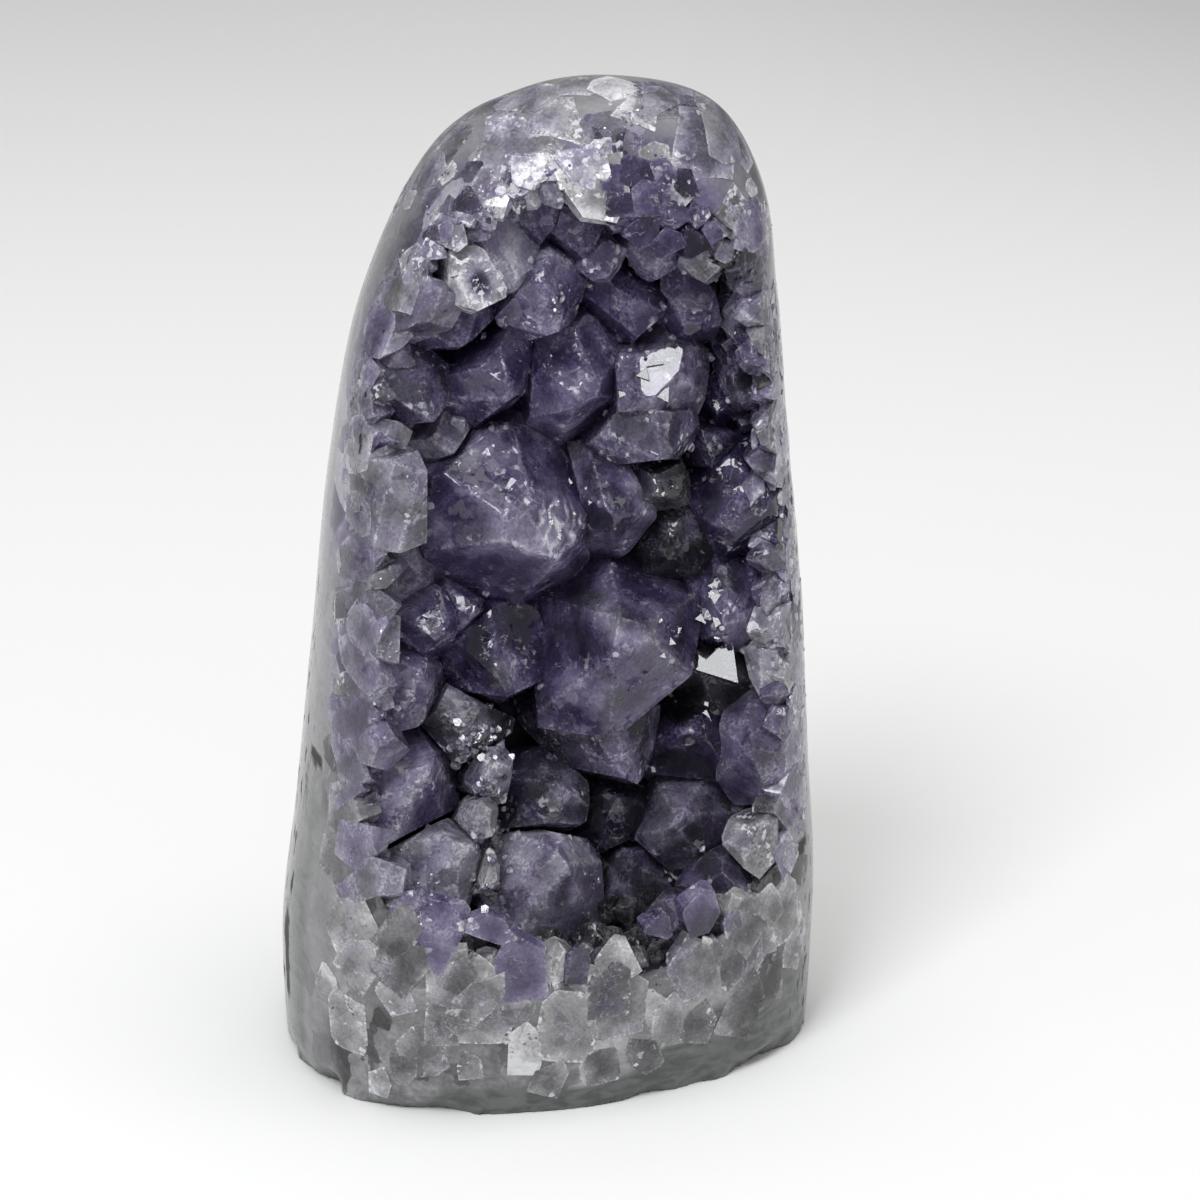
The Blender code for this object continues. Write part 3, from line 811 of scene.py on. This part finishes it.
def carve(
    bm, chance, look, longest, bevel, ripple, glint=None, skin=SKIN, rooted=0.0, rimmed=0.0, ridges=None
):
    """Finishes one crystal: soft edges, fine mesh, a slightly uneven surface. Returns what a Batch takes."""
    tone, purple, frost = look
    bm.normal_update()
    planes = planes_of(bm)
    bmesh.ops.bevel(
        bm, geom=bm.edges[:], offset=bevel, offset_type="OFFSET", segments=1, profile=0.5, affect="EDGES",
        clamp_overlap=True,
    )
    refine(bm, longest)
    bmesh.ops.recalc_face_normals(bm, faces=bm.faces)
    bm.verts.index_update()
    bm.normal_update()
    points = np.array([v.co for v in bm.verts])
    normals = np.array([v.normal for v in bm.verts])
    faces = [[v.index for v in f.verts] for f in bm.faces]
    bm.free()
    seed = np.array(scatter(chance, 0.05))
    mirror = np.zeros(len(points))
    if glint is not None:
        point, normal = glint
        mirror = smoothstep(0.10 * MM, 0.04 * MM, np.abs((points - np.array(point)) @ np.array(normal)))
    edge = edge_distance(points, planes)
    tones, purples = shades(points, tone, purple)
    frosts = np.full(len(points), float(frost)) + rimmed * smoothstep(0.8 * MM, 0.1 * MM, edge)
    out = BOWL.local(points)[:, 2]
    # Painted shade: each crystal is painted darker the further a point lies back from its outermost point,
    # towards its root.
    tones -= rooted * smoothstep(1.5 * MM, 7 * MM, out.max() - out)
    if ridges is not None:
        # The step lips are painted lighter and frostier: painted highlight, with the white of broken quartz.
        points, lips = ridged(points, normals, *ridges)
        frosts += lips * 1.2
        tones += lips * 0.36
    if ripple:
        wave = noise_at(points + seed, 2.1 * MM) + 0.45 * noise_at(points, 0.9 * MM, 5)
        points = points + normals * (wave * ripple * (1 - mirror))[:, None]
    outside = BODY.ratio(points) > skin
    points[outside] = BODY.snap(points[outside], skin)
    points = np.clip(points, *np.array(CAD_BOX))
    return points, faces, dict(seed=seed, tone=tones, purple=purples, frost=frosts, mirror=mirror, edge=edge)


def visual_crystal(node, material, slot):
    chance = random.Random(node.name)
    short = node.name.removeprefix("crystal_")
    tone, purple, frost, broken = LOOKS[short]
    bm = cleaned(node)
    centre = sum((v.co for v in bm.verts), Vector()) / len(bm.verts)
    size = max((v.co - centre).length for v in bm.verts)
    grow = 1 + 0.45 * MM / size
    slim, wider = SLIM.get(short, 1.0), WIDER.get(short, WIDER_USUALLY)
    across = Vector(BOWL.axes[0])
    for vert in bm.verts:
        away = (vert.co - centre) * grow
        wide = away - OUT * away.dot(OUT)
        vert.co = centre + away + wide * wider - across * away.dot(across) * (1 - slim)
    bm.normal_update()
    unevened(bm, chance, size)
    if broken:
        way = (OUT + Vector(scatter(chance, 0.3))).normalized()
        saw(bm, tip_of(bm, way) - way * broken * MM, way)
    white = slot == "quartz_clear"
    chipped(bm, chance, 16 if white else 11, (0.9 if white else 0.6) * MM)
    glint = None
    if short in GLINTS:
        depth, side, up = GLINTS[short]
        tip = tip_of(bm, OUT)
        normal = (facing_window(tip) + Vector((side, 0, up))).normalized()
        point = tip_of(bm, normal) - normal * depth * MM
        saw(bm, point, normal)
        glint = (point, normal)
    batch = Batch()
    longest = 0.3 * MM if short in RIDGES else 0.75 * MM
    # The crystal is painted darker towards its root: painted shade.
    batch.grow(
        bm, chance, (tone, purple, frost), longest, 0.09 * MM, 0.035 * MM, glint=glint,
        rooted=0.06, rimmed=0.25, ridges=RIDGES.get(short),
    )
    made = batch.finish(node.name.replace("crystal_", "quartz_"), material, slot)
    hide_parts(node.name)
    return made


def all_crystals(material):
    slots = {row["node"]: row["material_slot"] for row in frame["record"]["subparts"]}
    solids, made = {}, {}
    for name in sorted(NODES):
        if name.startswith("crystal_"):
            made[name] = visual_crystal(NODES[name], material, slots[name])
            bm = cleaned(NODES[name])
            bm.normal_update()
            solids[name] = planes_of(bm)
            bm.free()
    return solids, made


def tree_of(pieces):
    """All these pieces' faces, for finding the surface along a ray."""
    points, faces = [], []
    for piece in pieces:
        start = len(points)
        points += [vert.co for vert in piece.data.vertices]
        faces += [[index + start for index in face.vertices] for face in piece.data.polygons]
    return BVHTree.FromPolygons(points, faces)


def hex_prism(heart, axis, radius, below, above, chance, tip=True, uneven=1.0):
    """One crystal standing along its axis, with uneven sides and, if wanted, a six-faced end."""
    axis = Vector(axis).normalized()
    side = axis.orthogonal().normalized()
    side.rotate(Matrix.Rotation(chance.uniform(0, math.tau), 3, axis))
    other = axis.cross(side)
    bm = bmesh.new()
    bmesh.ops.create_cube(bm, size=2)
    for vert in bm.verts:
        x, y, z = vert.co
        across = side * (x * radius * 2) + other * (y * radius * 2)
        vert.co = Vector(heart) + across + axis * (above if z > 0 else -below)
    for k in range(6):
        turn = math.radians(60 * k) + chance.uniform(-0.18, 0.18) * uneven
        normal = side * math.cos(turn) + other * math.sin(turn)
        saw(bm, Vector(heart) + normal * radius * chance.uniform(1.0 - 0.28 * uneven, 1.0), normal)
        if tip:
            slope = (normal * math.sin(0.9) + axis * math.cos(0.9)).normalized()
            drop = radius * (chance.uniform(0.0, 0.12) if k % 2 else chance.uniform(0.1, 0.5))
            saw(bm, Vector(heart) + axis * above - slope * drop, slope)
    return bm


# Crystals that the polish has cut flush: across, height, radius, tone, violet and frost.
CUT_CRYSTALS = (
    (-9, 95, 3.2, 0.5, 0.3, 0.2), (-6, 97.5, 3, 0.56, 0.4, 0.3), (-1.5, 99, 3.4, 0.62, 0.4, 0.2),
    (3.5, 100, 3, 0.6, 0.4, 0.2), (11, 99.5, 3.6, 0.52, 0.4, 0.1), (15, 98, 2.6, 0.46, 0.4, 0.1),
    (18.5, 95, 3.2, 0.66, 0.4, 0.3), (-11, 92.5, 3.2, 0.58, 0.5, 0.3), (-14, 88.5, 3.2, 0.6, 0.5, 0.4),
    (-4, 95.5, 4.6, 0.64, 0.5, 0.4), (2, 97, 5.6, 0.7, 0.45, 0.4), (6, 97.5, 2.6, 0.4, 0.5, 0),
    (8, 96, 2, 0.4, 0.6, 0), (7, 100, 3, 0.88, 0.3, 0.7), (9, 98.5, 2.8, 0.86, 0.3, 0.9),
    (10.5, 99, 2.6, 0.46, 0.4, 0.1), (14, 98, 1.3, 0.42, 0.4, 0), (15, 95, 4.4, 0.66, 0.6, 0.5),
    (11, 94.5, 2.2, 0.86, 0.3, 0.9), (13, 92, 2.2, 0.72, 0.5, 0.9), (17, 96.5, 3.6, 0.68, 0.4, 0.2),
    (5, 95.5, 1.6, 0.88, 0.3, 0.8), (5.5, 93, 3.3, 0.76, 0.15, 0.5), (2, 93.5, 2, 0.84, 0.3, 0.9),
    (0, 95, 0.9, 0.95, 0.2, 0.9), (0, 94, 1.4, 0.34, 0.6, 0), (-3, 93, 1.9, 0.42, 0.6, 0.4),
    (-6, 92.5, 2.6, 0.64, 0.6, 0.6), (-4.5, 91, 1.6, 0.9, 0.3, 0.9), (-7, 93.5, 1.5, 0.42, 0.5, 0),
    (-9, 93, 1.4, 0.82, 0.3, 0.6), (-11, 90.5, 1.5, 0.44, 0.5, 0), (-10.5, 88, 1.3, 0.34, 0.4, 0),
    (-13, 89.5, 1.4, 0.8, 0.3, 0.7), (-10.5, 89.5, 1.3, 0.8, 0.4, 0.8), (-12.5, 85.5, 2.1, 0.82, 0.4, 0.9),
    (18.5, 90, 2.2, 0.82, 0.3, 0.9), (18.5, 88.5, 2, 0.78, 0.4, 0.9), (20.5, 87.5, 3, 0.6, 0.8, 0.4),
    (20, 90.5, 1.2, 0.85, 0.4, 0.9), (21.5, 87.5, 1, 0.9, 0.5, 0.9), (-14, 81, 4.6, 0.52, 0.6, 0.2),
    (-18, 71.5, 3.6, 0.56, 0.5, 0.2), (-16.5, 62.5, 5, 0.52, 0.45, 0.2), (-18.5, 56, 3.4, 0.53, 0.4, 0.2),
    (-18, 49, 3.2, 0.5, 0.4, 0.2), (-19, 42.5, 3, 0.54, 0.3, 0.3), (-21, 36, 2, 0.3, 0.2, 0.1),
    (-19, 36.5, 1.6, 0.24, 0.2, 0.1), (-18, 58.5, 0.8, 0.16, 0.4, 0), (-19.5, 31, 3.2, 0.56, 0.2, 0.4),
    (-20, 26, 3.4, 0.6, 0.15, 0.4), (-19.5, 19.5, 3.6, 0.74, 0.1, 0.5), (-18, 16.5, 3, 0.72, 0.1, 0.4),
    (-15, 14.5, 2.6, 0.76, 0.2, 0.8), (-7.5, 14.5, 5, 0.68, 0.08, 0.4), (-2.5, 14.5, 3.2, 0.62, 0.1, 0.3),
    (-2, 8, 2.8, 0.8, 0.05, 0.6), (2.5, 11, 4.2, 0.72, 0.05, 0.5), (7.5, 13, 4.2, 0.61, 0.1, 0.3),
    (7, 17, 2.6, 0.7, 0.15, 0.6), (12.5, 9.5, 3.2, 0.68, 0.1, 0.6), (14, 15, 3.4, 0.58, 0.4, 0.3),
    (21, 13.5, 4.2, 0.68, 0.15, 0.4), (16, 15.5, 1.6, 0.8, 0.1, 0.4), (25.5, 14, 3, 0.76, 0.1, 0.6),
    (-22, 12, 2.6, 0.68, 0.05, 0.3), (-19.5, 10, 3.4, 0.8, 0.05, 0.8), (-16, 11, 1.3, 0.28, 0.1, 0),
    (-12.5, 8, 3, 0.52, 0.05, 0.4), (-14, 6, 2.2, 0.56, 0.05, 0.5), (-16.5, 3.5, 1.8, 0.7, 0.05, 0.6),
    (-10.5, 11, 2.4, 0.56, 0.05, 0.4), (-7.5, 6.5, 1.8, 0.66, 0.05, 0.6), (0.5, 4.5, 2.2, 0.56, 0.05, 0.4),
    (5.5, 5.5, 2.4, 0.52, 0.05, 0.4), (9.5, 6, 2.4, 0.5, 0.05, 0.4), (15.5, 8, 2.4, 0.58, 0.05, 0.5),
    (22.5, 20.5, 1.6, 0.18, 0.1, 0), (25.5, 19.5, 2.2, 0.14, 0, 0), (23.5, 46.5, 3.2, 0.62, 0.5, 0.6),
    (24.5, 41.5, 2.4, 0.85, 0.3, 0.9), (24.5, 28, 3, 0.5, 0.3, 0.4), (24, 22, 2.4, 0.66, 0.9, 0.2),
    (24, 17, 3.5, 0.68, 0.1, 0.5), (25.5, 12, 3, 0.6, 0.1, 0.4), (19.5, 14.5, 3.5, 0.55, 0.2, 0.3),
    (22.5, 10, 3, 0.42, 0.05, 0.2), (20, 8.5, 3.5, 0.5, 0.05, 0.2), (6.5, 93.2, 1.7, 0.38, 1, 0.2),
    (9, 94, 1.6, 0.30, 0.9, 0.1), (11.5, 93.6, 1.5, 0.42, 1, 0.3), (13.6, 92.4, 1.6, 0.26, 0.8, 0.1),
    (7.6, 91, 2, 0.28, 0.9, 0.1), (10.2, 91.2, 1.9, 0.40, 1.1, 0.2), (12.6, 90, 1.8, 0.22, 0.8, 0),
    (15, 90, 1.5, 0.40, 1, 0.3), (9.2, 88.8, 1.7, 0.24, 0.9, 0), (11.6, 87.8, 1.7, 0.34, 1.1, 0.2),
    (14.2, 87.6, 1.8, 0.20, 0.7, 0), (16.4, 88, 1.3, 0.36, 0.9, 0.2), (22.5, 78.5, 2.6, 0.36, 0.8, 0.1),
    (23, 72.5, 2.8, 0.3, 0.8, 0), (23.5, 66, 3, 0.4, 0.9, 0.2), (24, 59.5, 2.8, 0.36, 0.9, 0.1),
    (24.5, 53.5, 2.4, 0.3, 0.7, 0), (25, 36, 2.4, 0.55, 0.7, 0.2), (25.5, 30.5, 2.4, 0.5, 0.4, 0.2),
    (-11, 20, 3.4, 0.44, 1.1, 0.3), (-13.5, 23, 2.4, 0.46, 1.1, 0.5), (-2.5, 18, 4, 0.5, 0.9, 0.2),
    (3.5, 17, 2, 0.32, 0.6, 0), (-5.5, 21.5, 2.2, 0.46, 1.1, 0.3), (15.5, 20, 2.6, 0.42, 0.9, 0.2),
    (11.5, 19.5, 1.8, 0.4, 0.8, 0.3), (19, 17.5, 2, 0.5, 0.4, 0.2),
)


def edge_of_body(inner, outer, point_at):
    """The value furthest from the inner one, towards the outer one, whose point is in the polished form."""
    for _ in range(40):
        middle = (inner + outer) / 2
        if BODY.ratio(np.array([point_at(middle)]))[0] < 1:
            inner = middle
        else:
            outer = middle
    return inner


def front_point(x, z):
    """The point of the polished front at this place across and this height in mm."""
    y = edge_of_body(BODY.heart[1], -0.03, lambda middle: [x * MM, middle, z * MM])
    return np.array([x * MM, y, z * MM])


FOOT_TOP = 19  # below this height in mm the cut crystals are upright teeth of clear quartz
CROWN_BASE = 84


def cut_crystals(material):
    """Crystals that the polish cut flush, in three pieces: the teeth of the foot, the sides and the crown."""
    foot, sides, crown = Batch(), Batch(), Batch()
    for index, (x, z, radius, tone, purple, frost) in enumerate(CUT_CRYSTALS):
        chance = random.Random(index + 100)
        skin = SKIN + 0.0006 + 0.0022 * index / len(CUT_CRYSTALS)
        place = front_point(x, z)
        normal = Vector(BODY.normal(place))
        lean = Vector(scatter(chance, 0.25))
        reach = radius * MM
        if z < FOOT_TOP:
            upright = Vector((0, 0, 1)) + lean * 1.6
            bm = hex_prism(place, upright, 0.85 * reach, 1.2 * reach, 1.4 * reach, chance)
        else:
            bm = hex_prism(
                place, normal + lean, 1.12 * reach, 0.9 * reach, 3 * MM, chance, tip=False, uneven=1.9
            )
        flush = BODY.snap(np.array([place]), skin)[0]
        saw(bm, Vector(flush), normal)
        chipped(bm, chance, 3, 0.25 * reach)
        look = (tone - 0.12 * smoothstep(0.6, 0.9, frost), purple, frost)
        batch = foot if z < FOOT_TOP else crown if z > CROWN_BASE else sides
        rimmed = 0.8 * min(1, frost * 2)
        batch.grow(bm, chance, look, 0.5 * MM, 0.05 * MM, 0.0, skin=skin, rimmed=rimmed)
    return [
        foot.finish("cut_foot_crystals", material, "quartz_clear"),
        sides.finish("cut_side_crystals", material, "amethyst_pale"),
        crown.finish("cut_crown_crystals", material, "amethyst_pale"),
    ]


def mouth_point(angle):
    """Where the bowl wall meets the polished form, at this angle round the bowl."""
    return BOWL.point(angle, edge_of_body(-0.99, 0.999, lambda middle: BOWL.point(angle, middle)))


# Stretches of the mouth with no rim crystals: across, height and reach.
RIM_GAPS = ((11, 91, 5.5),)


def rim_crystals(material):
    """Crystals astride the mouth of the bowl, cut flush in front, with free ends over the hollow."""
    chance = random.Random("rim")
    batch = Batch()
    angle, index = 0.0, 0
    while angle < math.tau:
        point = mouth_point(angle)
        if any(math.hypot(point[0] / MM - x, point[2] / MM - z) < reach for x, z, reach in RIM_GAPS):
            angle += 0.02
            continue
        calm = point[0] < -0.009 and point[2] < 0.082
        big = chance.random() < (0.75 if calm else 0.4)
        radius = (chance.uniform(1.9, 3.2) if big else chance.uniform(0.9, 1.7)) * MM
        growth = -BOWL.normal(point)
        skin_normal = BODY.normal(point)
        axis = growth + skin_normal * chance.uniform(0.0, 0.7)
        axis = axis + np.array(scatter(chance, 0.3))
        heart = point - skin_normal * chance.uniform(0.0, 2.2) * MM
        heart = heart + growth * chance.uniform(-0.6, 0.6) * radius
        above = radius * chance.uniform(0.9, 1.7)
        bm = hex_prism(heart, axis, radius, radius * 2, above, chance)
        skin = SKIN + 0.0030 + 0.0003 * (index % 2)
        saw(bm, Vector(BODY.snap(np.array([point]), skin)[0]), Vector(skin_normal))
        if bm.faces and len(bm.verts) > 5:
            chipped(bm, chance, 3, 0.2 * radius)
            low = point[2] < 0.022
            tone = chance.choice([0.40, 0.48, 0.54, 0.58, 0.62, 0.68])
            purple = 0.15 if low else chance.uniform(0.4, 0.9)
            frost = chance.choice([0.0, 0.1, 0.3] if calm else [0.1, 0.4, 1.0])
            if calm:
                tone = chance.uniform(0.46, 0.6)
            look = (tone, purple, frost)
            batch.grow(bm, chance, look, 0.6 * MM, 0.06 * MM, 0.04 * MM, skin=skin, rimmed=frost * 0.6)
        else:
            bm.free()
        angle += radius / 0.028 * chance.uniform(0.7, 1.2)
        index += 1
    return batch.finish("rim_crystals", material, "amethyst_pale")


def small_druse(material, solids):
    """Small crystals on the bowl wall, wherever no large one covers it."""
    chance = random.Random("druse")
    batch = Batch()
    for _ in range(2600):
        angle = chance.uniform(0, math.tau)
        lift = chance.uniform(-0.75, 0.95)
        point = BOWL.point(angle, lift)
        if BODY.ratio(point[None])[0] > 1.0:
            continue
        radius = chance.uniform(0.7, 1.9) * MM
        growth = -BOWL.normal(point)
        axis = growth + np.array(OUT) * 0.5 + np.array(scatter(chance, 0.3))
        axis /= np.linalg.norm(axis)
        above = radius * chance.uniform(1.6, 2.8)
        tip = (point + axis * above)[None]
        covered = max(depth_in(tip, planes)[0] for planes in solids.values())
        if covered > -0.1 * MM:
            continue
        bm = hex_prism(point, axis, radius, radius, above, chance)
        # Crystals lying deeper inside the bowl are painted darker: painted shade of the hollow.
        deep = min(1.0, max(0.0, -BODY.gap(tip)[0] / (9 * MM)))
        low = point[2] < 0.024
        tone = chance.uniform(0.46, 0.7) - 0.36 * deep
        purple = 0.15 if low else chance.uniform(0.3, 0.9)
        look = (tone, purple, chance.choice([0.0, 0.2, 0.8]))
        batch.grow(bm, chance, look, 1.2 * MM, 0.05 * MM, 0.03 * MM)
    return batch.finish("small_druse", material, "amethyst_mid")


def spaced(places, least):
    """Indices of places no two of which are nearer than this."""
    kept, taken = [], {}
    for index, place in enumerate(places):
        cell = tuple(int(v // least) for v in place)
        around = (tuple(c + s for c, s in zip(cell, step)) for step in product((-1, 0, 1), repeat=3))
        near = [taken[key] for key in around if key in taken]
        if all(np.linalg.norm(place - other) > least for other in near):
            taken[cell] = place
            kept.append(index)
    return kept


def draws_at(place):
    """Random draws that depend only on the place, whatever the order of a mesh's points."""
    return random.Random(str([round(float(value) / MM, 2) for value in place]))


def overgrowth(material, solids, made):
    """Small younger crystals in the valleys between the large ones."""
    tree = tree_of(made.values())
    spots = []
    for name, piece in made.items():
        points, normals = points_of(piece.data), normals_of(piece.data)
        others = [planes for other, planes in solids.items() if other != name]
        gap = -np.max([depth_in(points, planes) for planes in others], axis=0)
        for k in np.flatnonzero(gap < 0.9 * MM):
            spots.append((draws_at(points[k]).random(), name, points[k], normals[k]))
    spots.sort(key=lambda spot: spot[:2])
    batch = Batch()
    for index in spaced([spot[2] for spot in spots], 3.3 * MM):
        _, host, place, way = spots[index]
        chance = draws_at(place)
        place, way = Vector(place), Vector(way)
        if tree.ray_cast(place + way * 0.2 * MM + TO_CAMERA * 0.1 * MM, TO_CAMERA)[0] is not None:
            continue
        if BODY.ratio(np.array([place + way * MM]))[0] > 0.995:
            continue
        tone, purple, frost, _ = LOOKS[host.removeprefix("crystal_")]
        radius = chance.uniform(0.45, 1.25) * MM
        axis = (way + OUT * 0.5 + Vector(scatter(chance, 0.6))).normalized()
        above = radius * chance.uniform(1.3, 2.2)
        bm = hex_prism(place - axis * radius * 0.5, axis, radius, radius, above, chance)
        look = (tone + chance.uniform(-0.06, 0.14), purple, frost + chance.choice([0, 0, 0.5]))
        batch.grow(bm, chance, look, 0.8 * MM, 0.05 * MM, 0.02 * MM, rimmed=0.3)
    return batch.finish("younger_crystals", material, "amethyst_mid")


def sparkles(material, pieces):
    """Tiny bright broken crystals."""
    chance = random.Random("sparkles")
    tree = tree_of(pieces)
    side = Vector((1, 0, 0))
    rise = TO_CAMERA.cross(side)
    batch = Batch()
    for across, up, out, spread, count, size in SPARKLES:
        centre = Vector(bowl_place(across, up, out))
        for _ in range(count):
            place = centre + side * chance.gauss(0, spread / 2) * MM + rise * chance.gauss(0, spread / 2) * MM
            hit, normal, _, _ = tree.ray_cast(place + TO_CAMERA * 0.03, -TO_CAMERA)
            if hit is None or BODY.ratio(np.array([hit]))[0] > SKIN + 0.001 and normal.dot(TO_CAMERA) < 0:
                continue
            lean = chance.choice([0.12, 0.5, 0.9])
            axis = facing_window(hit) + Vector(scatter(chance, lean))
            radius = size * chance.uniform(0.25, 0.55) * MM
            above = radius * chance.uniform(0.3, 0.9)
            bm = hex_prism(hit, axis, radius, radius, above, chance, tip=lean > 0.8)
            look = (chance.uniform(0.35, 0.75), 0.5, 0.0)
            batch.grow(bm, chance, look, 2 * MM, 0.01 * MM, 0.0, shine=0.8, skin=0.9995)
    return batch.finish("sparkling_crystals", material, "quartz_clear")


def facing_window(point):
    """The way that mirrors the window's light to the camera."""
    return (TO_CAMERA + (KEY - Vector(point)).normalized()).normalized()


def shard(heart, way, radius, chance):
    """A thin three-cornered splinter, flat side forward."""
    side = way.orthogonal().normalized()
    other = way.cross(side)
    start = chance.uniform(0, math.tau)
    corners = []
    for k in range(3):
        turn = start + k * math.tau / 3 + chance.uniform(-0.35, 0.35)
        reach = radius * chance.uniform(0.55, 1.1)
        corners.append(heart + side * math.cos(turn) * reach + other * math.sin(turn) * reach)
    bm = bmesh.new()
    front = [bm.verts.new(corner) for corner in corners]
    back = [bm.verts.new(heart + (corner - heart) * 0.8 - way * 0.6 * radius) for corner in corners]
    bm.faces.new(front)
    bm.faces.new(back[::-1])
    for k in range(3):
        bm.faces.new((front[k - 1], back[k - 1], back[k], front[k]))
    bmesh.ops.recalc_face_normals(bm, faces=bm.faces)
    return bm


def mirror_chips(material, pieces):
    """Thin splinters that mirror the window."""
    chance = random.Random("chips")
    tree = tree_of(pieces)
    batch = Batch()
    for across, up, out, radius in MIRROR_CHIPS:
        place = Vector(bowl_place(across, up, out))
        hit, _, _, _ = tree.ray_cast(place + TO_CAMERA * 0.03, -TO_CAMERA)
        if hit is None:
            continue
        way = facing_window(hit)
        bm = shard(hit + TO_CAMERA * 0.3 * radius * MM, way, radius * 1.35 * MM, chance)
        batch.grow(bm, chance, (0.12, 0.5, 0.0), 2 * MM, 0.015 * MM, 0.0, shine=1)
    return batch.finish("mirror_chips", material, "quartz_clear")


# Studio -----------------------------------------------------------------------------------------------

FIELD = 0.12  # the width of the view at the object
SENSOR = 36  # mm


def camera():
    data = bpy.data.cameras.new("camera")
    made = bpy.data.objects.new("camera", data)
    SCENE.collection.objects.link(made)
    made.location = LOOK_AT + TO_CAMERA * CAMERA_DISTANCE
    made.rotation_euler = TO_CAMERA.to_track_quat("Z", "Y").to_euler()
    data.sensor_width = SENSOR
    data.lens = SENSOR * CAMERA_DISTANCE / FIELD
    data.clip_start = 0.01
    SCENE.camera = made


def sweep():
    """A pale floor that rises smoothly behind the object, its colour greying with distance and towards the
    right: painted shade.
    """
    width, front, back, radius, top = 2.0, -1.2, 0.8, 0.25, 1.4
    profile = [(front, 0.0), (back, 0.0)]
    profile += [
        (back + radius * math.sin(a), radius * (1 - math.cos(a)))
        for a in np.linspace(0, math.radians(84), 12)[1:]
    ]
    last_y, last_z = profile[-1]
    profile.append((last_y + 0.06, top))
    bm = bmesh.new()
    rows = [[bm.verts.new((x, y, z)) for y, z in profile] for x in (-width, width)]
    for k in range(len(profile) - 1):
        bm.faces.new((rows[0][k], rows[1][k], rows[1][k + 1], rows[0][k + 1]))
    mesh = bpy.data.meshes.new("floor")
    bm.to_mesh(mesh)
    bm.free()
    mesh.shade_smooth()
    n = Nodes("pale_floor")
    place = n.add("ShaderNodeSeparateXYZ")
    n.feed(place.inputs[0], n.coords)
    # Painted shade: the floor greys further back and, further back, towards the right.
    shade = n.span(place.outputs["Y"], 0.15, 0.62)
    right_shade = n.times(shade, n.span(place.outputs["X"], 0.0, 0.2))
    colour = n.mix(shade, (0.968, 0.962, 0.958), (0.64, 0.637, 0.632))
    colour = n.mix(n.times(right_shade, 0.8), colour, (0.30, 0.30, 0.295))
    n.set(Base_Color=colour, Roughness=0.9, Specular_IOR_Level=0.1)
    mesh.materials.append(n.material)
    floor = bpy.data.objects.new("floor", mesh)
    SCENE.collection.objects.link(floor)


def lamp(name, place, size, power, target=(0, 0, 0.05), colour=(1, 1, 1)):
    data = bpy.data.lights.new(name, "AREA")
    data.shape = "RECTANGLE"
    data.size, data.size_y = size
    data.energy = power
    data.color = colour
    made = bpy.data.objects.new(name, data)
    SCENE.collection.objects.link(made)
    made.location = place
    made.rotation_euler = (Vector(target) - Vector(place)).to_track_quat("-Z", "Y").to_euler()


def studio():
    world = bpy.data.worlds.new("soft_white")
    world.use_nodes = True
    background = world.node_tree.nodes["Background"]
    background.inputs["Color"].default_value = (1, 1, 1, 1)
    background.inputs["Strength"].default_value = 0.42
    SCENE.world = world
    lamp("window", KEY, (0.25, 0.32), 3.1, colour=(0.96, 0.98, 1.0))
    lamp("overhead", (0.1, 0.05, 0.95), (0.7, 0.7), 3.0)
    panes = ((-0.5, -0.45, 0.35), (0.35, -0.5, 0.55), (0.05, -0.6, 0.5), (-0.4, -0.1, 0.6))
    for k, place in enumerate(panes):
        lamp(f"pane_{k}", place, (0.04, 0.06), 0.06)
    SCENE.view_settings.view_transform = "Standard"


body = stone_body()
quartz = quartz_material()
solids, made = all_crystals(quartz)
edges = [*cut_crystals(quartz), rim_crystals(quartz), small_druse(quartz, solids)]
edges.append(overgrowth(quartz, solids, made))
sparkles(quartz, [body, *made.values(), *edges])
mirror_chips(quartz, [*made.values(), *edges])
sweep()
studio()
camera()
